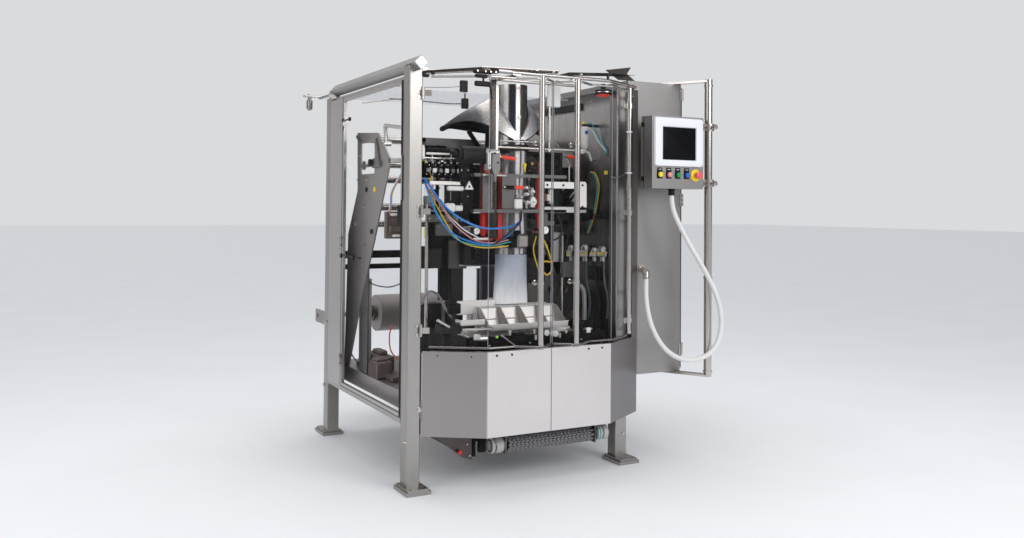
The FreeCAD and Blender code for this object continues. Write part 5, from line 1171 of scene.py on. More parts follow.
# material, share of the air line's diameter, places the line passes in mm
LINES = (
    ("blue_line", 1.3, [(-475, -420, 1556), (-464, -500, 1491), (-423, -560, 1409), (-339, -600, 1338),
                        (-227, -610, 1296), (-115, -600, 1294), (-25, -580, 1306), (20, -570, 1330)]),
    ("blue_line", 1.0, [(-479, -430, 1534), (-484, -520, 1439), (-471, -580, 1357), (-423, -610, 1287),
                        (-347, -620, 1240), (-243, -620, 1214), (-164, -600, 1213), (-68, -590, 1250),
                        (8, -580, 1314)]),
    ("black_line", 1.5, [(18, -590, 1384), (0, -600, 1322), (-96, -600, 1243), (-169, -600, 1207),
                         (-250, -600, 1221), (-303, -600, 1255), (-380, -580, 1340), (-440, -540, 1440)]),
    ("black_line", 0.9, [(-560, 190, 1010), (-560, 185, 987), (-560, 117, 960), (-560, -45, 956),
                         (-560, -180, 966), (-556, -300, 992)]),
    ("black_line", 1.0, [(-560, 500, 560), (-560, 480, 529), (-560, 394, 488), (-560, 244, 474),
                         (-552, 131, 482)]),
    ("teal_line", 0.8, [(-479, -430, 1529), (-470, -540, 1398), (-436, -590, 1307), (-377, -610, 1240),
                        (-301, -620, 1214), (-179, -610, 1202), (-48, -590, 1221)]),
    ("yellow_line", 0.8, [(-474, -420, 1524), (-454, -530, 1409), (-420, -580, 1317), (-372, -600, 1245),
                          (-308, -610, 1209), (-203, -610, 1192), (-66, -600, 1200)]),
    ("pink_line", 0.8, [(-473, -430, 1524), (-443, -530, 1429), (-397, -580, 1337), (-338, -600, 1276),
                        (-261, -610, 1229), (-150, -600, 1217), (-60, -590, 1232)]),
    ("pale_bezel", 0.7, [(-467, -430, 1513), (-432, -530, 1419), (-386, -580, 1342), (-327, -600, 1286),
                         (-250, -610, 1244)]),
    ("yellow_line", 1.0, [(-470, -420, 1651), (-464, -420, 1609), (-439, -430, 1567), (-450, -430, 1540)]),
    ("yellow_line", 1.0, [(186, -520, 1249), (207, -540, 1195), (233, -540, 1128), (246, -540, 1073),
                          (215, -540, 1035), (182, -540, 1064), (188, -540, 1107), (233, -540, 1106)]),
    ("yellow_line", 0.9, [(166, -500, 1248), (148, -500, 1172), (174, -500, 1083), (200, -500, 1033),
                          (193, -500, 1171)]),
    ("red_line", 1.0, [(-518, -100, 748), (-535, -100, 693), (-528, -100, 610), (-486, -100, 552)]),
    ("teal_line", 0.9, [(604, -340, 1900), (632, -352, 1898), (654, -400, 1808), (654, -468, 1738),
                        (656, -452, 1706)]),
    ("pale_bezel", 0.8, [(600, -346, 1886), (630, -368, 1850), (654, -395, 1788), (655, -464, 1734)]),
    ("yellow_line", 1.0, [(640, -330, 1618), (655, -357, 1606), (655, -394, 1546), (655, -384, 1464),
                          (655, -363, 1394), (655, -326, 1316), (655, -288, 1256)]),
    ("teal_line", 1.0, [(640, -322, 1618), (651, -346, 1604), (651, -383, 1546), (651, -373, 1464),
                        (651, -352, 1394), (651, -315, 1316), (651, -277, 1256)]),
    ("black_line", 1.2, [(300, -480, 1403), (330, -500, 1300), (300, -520, 1240), (240, -520, 1220)]),
    ("black_line", 1.2, [(-190, -460, 1290), (-230, -480, 1240), (-210, -500, 1180), (-160, -480, 1150)]),
    ("grey_line", 1.4, [(-520, -500, 900), (-470, -470, 960), (-400, -440, 940), (-360, -460, 860),
                        (-330, -520, 790)]),
    ("black_line", 1.5, [(445, -330, 1240), (500, -360, 1300), (556, -350, 1360)]),
    ("black_line", 1.5, [(560, -250, 1440), (520, -280, 1340), (500, -300, 1240), (470, -300, 1100)]),
    ("black_line", 1.4, [(230, -470, 1200), (250, -500, 1120), (290, -500, 1040), (330, -470, 980),
                         (350, -420, 900)]),
    ("grey_line", 3.2, [(486, -500, 772), (486, -500, 860), (484, -496, 930), (470, -480, 968)]),
    ("grey_line", 1.2, [(60, -240, 1067), (90, -300, 1040), (120, -330, 980), (130, -330, 900)]),
)

# material: (low corner, high corner, edge) of chamfered blocks
BLOCKS = {
    "milled_aluminium": [
        ((-184, -528, 1570), (-40, -512, 1580), 1.5), ((200, -512, 1514), (427, -500, 1546), 2),
        ((200, -512, 1376), (488, -500, 1410), 2), ((395, -312, 1088), (465, -290, 1262), 3),
        ((234, -500, 1440), (262, -440, 1480), 3), ((-473, -486, 1518), (-277, -474, 1538), 2),
        ((-323, -709, 730), (-283, -700, 762), 4),
        ((106, -538, 1400), (138, -512, 1468), 6), ((20, -532, 1455), (66, -512, 1470), 3)],
    "yellow_plastic": [((-419, -306, 1230), (-406, -294, 1289), 3)],
    "strip_sheet": [((39, -520, 1181), (108, -440, 1259), 10)],
    "seal_plate": [
        ((-65, -524, 1397), (11, -513, 1572), 1.5), ((-358, -172, 1733), (-36, -150, 1790), 2),
        ((-465, -420, 1419), (-406, -380, 1461), 3), ((-426, -330, 1403), (-379, -300, 1436), 3),
        ((296, -200, 1300), (330, -160, 1500), 3), ((430, -360, 1000), (560, -340, 1090), 3),
        ((352, -240, 1420), (372, -160, 1520), 2), ((480, -120, 1240), (664, -100, 1300), 2),
        ((-129, -262, 1132), (51, -240, 1175), 2), ((-240, -176, 1640), (-60, -150, 1732), 3),
        ((-582, 133, 444), (-568, 264, 1350), 2)],
    "lower_plate": [
        ((-16, -206, 875), (69, -180, 1067), 2), ((-230, -216, 884), (-159, -200, 1055), 1.5),
        ((-247, -240, 1059), (-130, -214, 1219), 3), ((320, -236, 875), (372, -200, 1290), 3)],
    "black_oxide": [
        ((-50, -545, 1503), (4, -520, 1521), 3), ((279, -500, 1403), (319, -470, 1583), 5),
        ((-373, -212, 1663), (-250, -190, 1745), 3), ((32, -500, 1184), (64, -440, 1279), 4),
        ((-291, -236, 886), (-240, -196, 1258), 3), ((-127, -262, 1108), (52, -240, 1130), 2),
        ((220, -462, 1200), (300, -380, 1300), 4), ((-54, -228, 877), (-42, -218, 1058), 1),
        ((556, -372, 1321), (600, -330, 1407), 4), ((600, -362, 1336), (643, -336, 1396), 4),
        ((440, -330, 1560), (520, -300, 1640), 4), ((-200, -470, 1120), (-150, -420, 1190), 3),
        ((160, -460, 1120), (214, -400, 1190), 3), ((-330, -300, 1560), (-260, -262, 1640), 3),
        ((-400, -320, 1180), (-290, -280, 1380), 4), ((-520, -330, 1560), (-440, -280, 1630), 4),
        ((-459, -424, 1694), (-324, -408, 1714), 3), ((-420, -620, 856), (-351, -590, 910), 5),
        ((-12, -512, 1184), (39, -448, 1245), 6), ((-300, -486, 1300), (-240, -470, 1640), 3),
        ((-560, -300, 1300), (-470, -250, 1410), 4), ((-380, -290, 1430), (-330, -262, 1500), 3)],
    "dark_casting": [
        ((390, -300, 1325), (500, -250, 1500), 4), ((470, -420, 620), (560, -300, 760), 4),
        ((-560, -640, 444), (-470, -560, 560), 5), ((-300, -640, 444), (-200, -560, 520), 4),
        ((500, -560, 444), (580, -440, 600), 4), ((-480, -380, 444), (-380, -280, 640), 5),
        ((-340, -150, 444), (-240, -60, 860), 4), ((380, -120, 444), (520, 20, 900), 5),
        ((-474, -640, 757), (-358, -560, 803), 4),
        ((-440, -612, 444), (-404, -580, 758), 3), ((-396, -613, 802), (-380, -597, 858), 2),
        ((-172, -290, 1080), (44, -270, 1292), 4),
        ((-140, -290, 1390), (-60, -270, 1640), 4), ((-452, -290, 1068), (-308, -270, 1190), 4),
        ((-254, -572, 104), (-236, -540, 210), 2), ((-214, -566, 118), (-168, -540, 200), 5),
        ((-236, -556, 176), (-150, -540, 200), 3)],
    "drive_brown": [((-540, 3, 470), (-460, 250, 556), 8), ((-545, -173, 444), (-455, 408, 472), 3),
                    ((-530, 60, 556), (-480, 180, 580), 6)],
    "white_coat": [
        ((8, -540, 1397), (55, -512, 1449), 4), ((-371, -492, 1489), (-277, -470, 1514), 5),
        ((-385, -500, 1375), (-330, -470, 1423), 6), ((-328, -496, 1382), (-284, -474, 1412), 4),
        ((-465, -426, 1680), (-330, -414, 1691), 2), ((362, -710, 730), (388, -700, 758), 5),
        ((255, -500, 1425), (278, -470, 1507), 5), ((560, -260, 1440), (620, -220, 1500), 5),
        ((-256, -566, 1230), (-168, -556, 1243), 3), ((-460, -430, 1590), (-400, -410, 1612), 3),
        ((-500, -330, 1440), (-470, -300, 1500), 4)],
    "red_coat": [
        ((-55, -452, 1199), (-26, -432, 1597), 2), ((209, -440, 1282), (234, -412, 1582), 2),
        ((-150, -462, 1250), (-128, -440, 1373), 3),
        ((-150, -430, 1222), (-60, -408, 1244), 8)],
    "jaw_bright": [
        ((-287, -446, 828), (-62, -434, 902), 2), ((-62, -366, 850), (190, -354, 904), 2),
        ((-330, -570, 786), (-186, -560, 816), 2), ((-300, -562, 792), (-286, -440, 806), 2)],
    "bright_bar": [
        ((-359, -652, 770), (-178, -636, 782), 2),
        ((-261, -446, 752), (-97, -430, 797), 2), ((-187, -258, 1074), (40, -244, 1087), 2)],
}

# material: (start, end, radius) of straight round bars
RODS = {
    "bright_bar": [
        ((-561, 300, 2017), (-319, 300, 2060), 4),
        ((-330, -300, 1546), (-330, -300, 1690), 5), ((-200, -300, 1400), (-200, -300, 1650), 5),
        ((-262, -300, 1440), (-262, -300, 1690), 4), ((182, -600, 1722), (182, -600, 1951), 5),
        ((390, -480, 1546), (390, -480, 1640), 6), ((330, -480, 1530), (470, -480, 1530), 8),
        ((-420, -400, 1461), (-420, -400, 1700), 6), ((-450, -400, 742), (-450, -400, 1420), 9),
        ((445, -330, 740), (445, -330, 1240), 9), ((585, -350, 1361), (664, -350, 1361), 8),
        ((630, -350, 1684), (665, -350, 1684), 6), ((-480, -420, 1662), (-262, -420, 1660), 5),
        ((13, -230, 878), (13, -230, 1070), 5.5), ((210, -500, 1440), (210, -500, 1560), 5),
        ((27, -540, 1480), (65, -540, 1434), 3.5), ((83, -530, 1400), (83, -530, 1444), 8),
        ((120, -526, 1468), (120, -526, 1512), 12), ((-124, -516, 1400), (-124, -516, 1570), 4)],
    "dark_tube": [((-98, -486, 1236), (-98, -486, 1580), 27), ((-98, -486, 1470), (-98, -486, 1478), 30)],
    "black_oxide": [
        ((-345, -300, 1380), (-345, -300, 1740), 10), ((-410, -150, 1780), (-40, -150, 1780), 11),
        ((340, -250, 1714), (340, -250, 1995), 8), ((480, -200, 1500), (664, -200, 1500), 8),
        ((423, -330, 1421), (540, -330, 1539), 13), ((446, -344, 1410), (560, -344, 1520), 9),
        ((410, -316, 1440), (520, -316, 1556), 8)],
    "dark_casting": [((-318, -520, 1680), (-166, -520, 1680), 46),
                     ((-334, -520, 1680), (-318, -520, 1680), 36),
                     ((-350, -520, 1680), (-334, -520, 1680), 14)],
    "milled_aluminium": [
        ((-495, -640, 833), (-428, -640, 794), 9), ((-140, -470, 1600), (-140, -470, 1712), 9)],
    "black_plastic": [((108, -480, 1220), (120, -480, 1220), 30), ((-44, -480, 1214), (-12, -480, 1214), 16)],
    "white_coat": [
        ((82, -540, 1476), (82, -512, 1476), 9), ((82, -540, 1512), (82, -512, 1512), 7),
        ((118, -540, 1490), (118, -512, 1490), 10), ((124, -540, 1436), (124, -512, 1436), 20),
        ((88, -540, 1430), (88, -512, 1430), 9)],
}


def build_machinery(sizes):
    """Jaws, columns, belts, valves, gauges and hoses of the sealing unit."""
    coat("dark_casting", "jaw_columns")
    coat("black_oxide", "tube_head", "jaw_base")
    coat("drive_sheet", "drive_cover")
    coat("red_coat", "pull_brackets")
    coat("seal_plate", "seal_frame")
    coat("bright_bar", "jaw_rods")
    coat("jaw_bright", "sealing_jaws")
    bevelled(1.5, "jaw_columns", "tube_head", "jaw_base", "seal_frame", "pull_brackets")
    for material, blocks in BLOCKS.items():
        piece("units_" + material, [block(low, high, edge) for low, high, edge in blocks], material)
    for material, bars in RODS.items():
        piece("bars_" + material, [rod(start, end, radius, 24) for start, end, radius in bars], material)
    build_end_plate()
    build_clamp()
    build_valve_bank()
    build_pull_belts()
    build_red_parts()
    build_gauges()
    build_air_unit()
    build_lines(sizes)
    build_jaw_front()
    build_deck(sizes)


def build_end_plate():
    """White end plate of the seal unit with rounded corners, its slot and screws."""
    outline = rounded_outline((431, 1393), (488, 1552), 16)
    plate = [prism([(z, x) for x, z in outline], "Y", -512, -496)]
    plate.append(prism([(z, x) for x, z in rounded_outline((200, 1512), (470, 1548), 9)], "Y", -513, -499))
    piece("seal_end_plate", plate, "white_coat")
    piece("seal_end_screws",
          screws([(459, -512, 1410), (459, -512, 1532), (226, -513, 1530), (330, -513, 1530)],
                 FORWARDS, 6, cap_screw), "black_oxide")
    warning = prism([(1543, -247), (1497, -221), (1497, -273)], "Y", -494, -486)
    piece("warning_triangle", [warning], "white_coat")
    piece("warning_dot", [turned([(6, 0), (6, 1.4), (4, 2)], (-247, -494, 1512), FORWARDS, 12)],
          "black_plastic")


def build_valve_bank():
    """Row of small valves left of the tube with their coils, sockets and screws."""
    bodies, coils, sockets, heads = [], [], [], []
    for k in range(6):
        x = -478 + 36 * k
        bodies.append(block((x, -440, 1568), (x + 26, -404, 1632), 3))
        coils.append(block((x + 3, -452, 1584), (x + 23, -440, 1606), 2))
        sockets.append(turned([(5, 0), (7, 2), (7, 8), (5, 10)], (x + 13, -424, 1632), UPWARDS, 12))
        heads += [cap_screw((x + 5 + 16 * side, -440, 1576 + 48 * side), FORWARDS, 3, 2.5) for side in (0, 1)]
    bodies.append(block((-486, -404, 1556), (-262, -392, 1644), 2))
    piece("valve_bodies", bodies, "black_oxide")
    piece("valve_coils", coils[::2], "seal_plate")
    piece("valve_covers", coils[1::2], "white_coat")
    piece("valve_sockets", sockets, "milled_aluminium")
    plates = [block((-480, -478, 1322), (-300, -466, 1362), 2),
              block((-300, -486, 1262), (-232, -474, 1296), 2),
              block((-430, -470, 1250), (-330, -458, 1318), 4)]
    piece("seal_plates_left", plates, "lower_plate")
    links = [block((-62, -234, z), (-34, -216, z + 7), 2) for z in range(880, 1056, 13)]
    piece("drive_chain", links, "dark_casting")
    heads += [cap_screw((x, -478, 1342), FORWARDS, 4, 3) for x in (-470, -430, -390, -350, -312)]
    heads += [cap_screw((x, y, z), FORWARDS, 4, 3) for x, y, z in (
        (-290, -486, 1330), (-252, -486, 1330), (-290, -486, 1420), (-252, -486, 1460), (-290, -486, 1600),
        (-252, -486, 1600), (-280, -486, 1279), (-246, -486, 1279), (-415, -470, 1300), (-345, -470, 1264))]
    piece("valve_screws", heads, "bright_bar")


def build_clamp():
    """Hexagonal clamp body under the hanging frame with its bright strap."""
    body = prism([(1714, -150), (1714, -109), (1610, -104), (1575, -118), (1575, -141), (1610, -155)], "Y",
                 -575, -545)
    piece("clamp_body", [body, rod((-130, -560, 1540), (-130, -560, 1576), 11)], "blasted_plate")
    strap = prism([(z, x) for x, z in rounded_outline((-184, 1604), (-166, 1716), 7)], "Y", -584, -566)
    piece("clamp_strap", [strap, block((-190, -578, 1690), (-110, -570, 1704), 2)], "beam_cap")
    piece("clamp_screws",
          screws([(-175, -584, 1622), (-175, -584, 1698), (-140, -575, 1690), (-120, -575, 1640)],
                 FORWARDS, 5, cap_screw), "black_oxide")


def build_pull_belts():
    """Toothed friction belts on flanged pulleys either side of the tube, with their hubs and screws."""
    belts, pulleys = [], []
    top, foot, wide, narrow = 1600, 1310, 36, 31
    front, back = -430, -370
    for side in (-1, 1):
        x = TUBE_X + side * 121.3
        around = [(x + wide * math.cos(a), centre + wide * math.sin(a))
                  for centre, start in ((top, 0), (foot, math.pi))
                  for a in np.linspace(start, start + math.pi, 16)]
        outer, inner = np.array(around), []
        for px, pz in around:
            cz = top if pz >= top else foot if pz <= foot else pz
            reach = math.hypot(px - x, pz - cz)
            inner.append((x + (px - x) * narrow / reach, cz + (pz - cz) * narrow / reach))
        ring = [[(px, y, pz) for px, pz in line] for y, line in (
            (front, outer), (back, outer), (back, inner), (front, inner), (front, outer))]
        belts.append(loft(ring, capped=False))
        for z in (foot, top):
            pulleys.append(turned([(30.5, 2), (30.5, 62)], (x, -431, z), BACKWARDS, 28))
            pulleys.append(turned([(24, 0), (24, 6), (14, 8), (14, 14)], (x, -431, z), FORWARDS, 24))
            pulleys.append(cap_screw((x, -444, z), FORWARDS, 7, 7))
    piece("friction_belts", belts, "black_plastic", replaces=["pull_belts"])
    piece("belt_pulleys", pulleys, "dark_casting")


def build_red_parts():
    """Red grips of the clamps, the drive hubs and the ring on the tube's head."""
    grips = [turned([(7, 0), (10.5, 3), (9.5, 26), (10.5, 48), (7, 51)], (6, -540, 1512), RIGHTWARDS, 16),
             turned([(7, 0), (10.5, 4), (9, 40), (10.5, 76), (7, 81)], (-88, -562, 1672), (1, 0, -0.1), 16),
             turned([(7, 0), (10.5, 4), (9, 30), (10.5, 58), (7, 62)], (463, -350, 1700), RIGHTWARDS, 16)]
    piece("clamp_grips", grips, "red_grip")
    arms = [rod((-60, -535, 1512), (8, -540, 1512), 5), rod((-120, -562, 1676), (-86, -562, 1672), 5),
            rod((440, -350, 1700), (466, -350, 1700), 5), block((-152, -570, 1664), (-96, -556, 1690), 4)]
    piece("clamp_arms", arms, "bright_bar")
    hub = [turned([(48, 0), (48, 22), (42, 26), (30, 28), (30, 38), (16, 40), (16, 46)], (145, -438, 1645),
                  FORWARDS, 36),
           turned([(20, 0), (20, 40), (12, 44)], (92, -430, 1640), LEFTWARDS, 20)]
    piece("drive_hubs", hub, "dark_casting")
    rings = [turned([(9, 0), (9, 5), (5, 6)], (145, -484, 1645), FORWARDS, 12)]
    rings += [dome_screw((147, -478, 1636), FORWARDS, 9)]
    rings += [cap_screw((145 + 36 * math.cos(a), -464, 1645 + 36 * math.sin(a)), FORWARDS, 3.5, 4)
              for a in np.linspace(0.4, TAU + 0.4, 6, endpoint=False)]
    piece("hub_brasses", rings, "brass")
    nozzle = turned([(3, 0), (4, 14), (9, 34), (11, 42), (8, 48)], (90, -500, 1598), (0, 0.1, 1), 14)
    piece("hub_nozzle", [nozzle], "yellow_plastic")


def build_gauges():
    """Two pressure gauges and the small push fittings beside them."""
    shells, faces, marks = [], [], []
    for x, y, z, radius in ((-188, -455, 1275, 22), (176, -565, 1282, 24)):
        shells.append(turned([(radius * 0.5, -30), (radius * 0.5, -2), (radius, 0), (radius, 14),
                              (radius * 0.9, 17),
                              (radius * 0.86, 14)], (x, y, z), FORWARDS, 32))
        faces.append(turned([(radius * 0.84, 13.6), (radius * 0.84, 14.8)], (x, y, z), FORWARDS, 32))
        marks.append(turn_about(block((x - 1, y - 15.6, z - 2), (x + 1, y - 14.6, z + radius * 0.7), 0.2),
                                np.array((x, y, z)), "Y", 35))
        for angle in np.linspace(-2.3, 2.3, 9):
            reach = radius * 0.74
            at = (x + reach * math.sin(angle), y - 14.6, z + reach * math.cos(angle))
            marks.append(turned([(1.3, 0), (1.3, 0.6)], at, FORWARDS, 6))
    shells.append(rod((176, -540, 1282), (176, -470, 1282), 7))
    piece("gauge_shells", shells, "black_plastic")
    piece("gauge_dials", faces, "gauge_face")
    piece("gauge_marks", marks, "rubber_seal")
    fittings = []
    for x, z in ((82, 1476), (118, 1490), (124, 1436), (88, 1430)):
        fittings.append(turned([(5, 0), (5, 8), (7, 9), (7, 14), (4, 15)], (x, -540, z), FORWARDS, 12))
    for z in (1506, 1532, 1402, 1428):
        fittings.append(turned([(6, 0), (6, 9), (8, 10), (8, 16)], (-330, -300, z), LEFTWARDS, 12))
    piece("push_fittings", fittings, "milled_aluminium")


def build_beacon():
    """Round lamp under the roof's right front: dark drum, pale ring and red lens."""
    at = np.array((535, -600, 2040.0))
    piece("beacon_drum",
          [turned([(40, 0), (50, 4), (50, 22), (44, 28), (14, 30), (14, 60)], at, UPWARDS, 32)],
          "dark_casting")
    piece("beacon_ring", [ring_band(at + (0, 0, 9), UPWARDS, 50, 6, 3, 32)], "bright_bar")
    piece("beacon_lens", [turned([(38, 0), (34, 8), (20, 13), (1, 14)], at, (0, 0, -1), 28)], "red_grip")


# Along Y and Z, the regulators on the inner wall
REGULATORS = ((-161, -101, 1079, 1177), (-326, -248, 1087, 1186), (-413, -350, 1093, 1172),
              (-518, -424, 1097, 1183))


def build_air_unit():
    """Filter with its bowl, its head and bracket, and the regulators on the inner wall."""
    bowl = turned([(5, 0), (14, 2), (22, 10), (24.5, 22), (24.5, 110), (22, 126), (14, 132)],
                  (590, -340, 1752), UPWARDS, 28)
    piece("filter_bowl", [bowl], "white_coat")
    head = [block((574, -356, 1884), (622, -324, 1898), 5), rod((612, -340, 1890), (664, -340, 1890), 9)]
    piece("filter_head", head, "black_plastic")
    piece("filter_cap", [turned([(9, 0), (9, 8), (6, 12)], (582, -340, 1898), UPWARDS, 16)], "yellow_plastic")
    piece("filter_dot", [turned([(11, 0), (11, 2), (8, 3)], (585, -363, 1848), FORWARDS, 20)], "blue_plastic")
    hook = spline([(590, -340, 1752), (592, -346, 1738), (612, -350, 1728), (622, -350, 1706),
                   (630, -350, 1684)], 24)
    piece("filter_outlet", [tube(hook, 7, 10), block((560, -352, 1722), (584, -332, 1750), 4)], "white_coat")
    build_beacon()
    wall, marks = [], []
    for y0, y1, z0, z1 in REGULATORS:
        middle, deep = (y0 + y1) / 2, (y1 - y0) / 2
        wall.append(block((618, y0, z0 + 26), (664, y1, z1 - 30), 4))
        wall.append(turned([(deep * 0.8, 0), (deep * 0.8, 18), (deep * 0.6, 24), (deep * 0.6, 30)],
                           (640, middle, z1 - 30), UPWARDS, 20))
        wall.append(turned([(deep * 0.5, 0), (deep * 0.5, 26)], (640, middle, z0), UPWARDS, 16))
        marks.append(block((616, middle - deep * 0.6, z0 + 40), (618.6, middle + deep * 0.6, z0 + 54), 0.5))
        cable("regulator_hose_%d" % len(wall),
              [(640, middle, z0 + 4), (636, middle - 6, z0 - 60), (628, middle - 30, z0 - 130),
               (640, middle - 44, z0 - 220), (650, middle - 20, z0 - 330)],
              12.0, "black_line" if len(wall) % 2 else "grey_line")
    piece("wall_regulators", wall, "milled_aluminium")
    piece("regulator_marks", marks, "yellow_plastic")
    lamp = [block((650, -200, 2000), (664, 260, 2040), 3), block((640, -190, 1996), (652, 250, 2006), 1)]
    piece("lamp_unit", lamp, "black_plastic")
    tags = [block((661.5, y, z), (663.8, y + 36, z + 22), 0.5)
            for y, z in ((-470, 1600), (-470, 1120), (60, 1640))]
    piece("wall_labels", tags, "yellow_plastic")
    boxes = [block((644, -420, 980), (664, -300, 1060), 4), block((646, -100, 1180), (664, 60, 1300), 4),
             block((640, 180, 900), (664, 320, 1120), 4)]
    piece("wall_boxes", boxes, "dark_casting")


def build_lines(sizes):
    """Coloured air lines and cables round the tube, each through listed points."""
    width = sizes.line_diameter / MM
    for index, (material, share, route) in enumerate(LINES):
        cable("line_%02d" % index, route, width * share, material)


def build_jaw_front():
    """Front cover of the jaw: a bent bright sheet with an upright lip and five gussets."""
    low, high = box_mm("jaw_cover_front")
    left, right = low[0], high[0]
    profile = [(-612, 771), (-512, 757), (-462, 866), (-468, 866), (-516, 763), (-612, 777)]
    face = [prism(profile, "X", left, right), block((left, -616, 757), (right, -610, 788), 1),
            block((left, -474, 860), (right, -460, 868), 1)]
    pitch = (right - left) / 4
    for k in range(5):
        x = left + pitch * k
        face.append(prism([(-612, 776), (-520, 765), (-470, 860), (-476, 866), (-500, 866)], "X",
                          max(left, x - 3), min(right, x + 3)))
    piece("jaw_cover_sheet", face, "cover_sheet", replaces=["jaw_cover_front"])
    insets, slots = [], []
    for k in range(4):
        x = left + pitch * k
        insets.append(prism([(x + 16, -600), (x + pitch - 16, -600), (x + pitch - 26, -530), (x + 26, -530)],
                            "Z", 771, 776))
        slots.append(block((x + 20, -498, 792), (x + pitch - 20, -490, 806), 2))
    piece("jaw_cell_floors", insets, "seal_plate")
    piece("jaw_cell_slots", slots, "dark_tube")
    strips = [block((left - 4, -618, 786), (right + 4, -612, 791), 0.8),
              block((left, -470, 862), (right, -452, 870), 1)]
    piece("jaw_strips", strips, "beam_cap")


def build_deck(sizes):
    """Front of the black deck: lamp, lever, covers, push fittings, plugs and the blocks on the bed."""
    front_bar = [block((-350, -706, 700), (476, -700, 735), 2),
                 block((-350, -704, 560), (-300, -698, 640), 2),
                 block((-88, -702, 741), (-16, -676, 757), 6), block((87, -702, 733), (174, -676, 752), 6)]
    piece("deck_bar", front_bar, "black_oxide")
    piece("deck_lamp", [turned([(7, 0), (7, 5), (5, 8), (1, 9)], (-191, -708, 740), FORWARDS, 16)],
          "green_lamp")
    lever = [rod((-167, -712, 749), (-67, -712, 678), 5),
             turned([(8, 0), (8, 10), (5, 12)], (-160, -702, 744), FORWARDS, 14)]
    piece("deck_lever", lever, "bright_bar")
    grip = [turned([(6, 0), (9, 3), (9, 30), (6, 34)], (-84, -712, 690), (0.8, 0, -0.6), 14)]
    piece("deck_lever_grip", grip, "black_plastic")
    caps = []
    for x0, x1, z0, z1 in ((-118, -94, 752, 771), (32, 50, 748, 768), (180, 199, 745, 760),
                           (224, 249, 732, 752)):
        reach = (x1 - x0) / 2 * 0.65
        caps.append(turned([(5, 740 - z0), (5, 0), (reach, 2), (reach, z1 - z0 - 4), (4, z1 - z0 - 2)],
                           ((x0 + x1) / 2, -694, z0), UPWARDS, 14))
    for x0, x1, z0, z1 in ((32, 51, 712, 737), (181, 199, 714, 739)):
        caps.append(turned([(4, 0), ((x1 - x0) / 3, 3), ((x1 - x0) / 3, z1 - z0)], ((x0 + x1) / 2, -708, z0),
                           UPWARDS, 14))
    piece("deck_fittings", caps, "cap_plastic")
    loops = [ring_band((x, -702, z), FORWARDS, 13, 5, 3, 20) for x, z in ((112, 744), (146, 740), (168, 736))]
    loops += [cap_screw((x, -700.5, z), FORWARDS, 6, 5)
              for x, z in ((-230, 700), (-120, 716), (10, 700), (70, 716), (280, 716), (330, 700))]
    piece("deck_loops", loops, "beam_cap")
    plugs = [rod((-298, -690, 733), (-241, -690, 733), 18), block((-310, -700, 716), (-294, -676, 750), 3),
             rod((386, -648, 736), (432, -648, 736), 15), rod((446, -648, 681), (485, -648, 681), 12)]
    piece("deck_plugs", plugs, "milled_aluminium")
    feet = [block((x, -700, 444), (x + 40, -640, 470), 3) for x in (-400, -210, 30, 250, 410)]
    piece("deck_blocks", feet, "dark_casting")
    gearbox = [block((-600, -70, 444), (-500, 50, 540), 8), block((-590, -50, 540), (-520, 30, 556), 5)]
    gearbox += [block((-604, y, 452), (-500, y + 5, 532), 1) for y in range(-60, 40, 14)]
    piece("drive_gearbox", gearbox, "drive_brown")
    heads = [cap_screw((x, -701, z), FORWARDS, 7, 7) for x in (-340, -60, 160, 320, 460) for z in (640, 672)]
    piece("deck_screws", heads, "bright_bar")
    piece("bed_studs", [rod((x, -656, 350), (x, -656, 330), 9) for x in (-500, 520)], "bright_bar")


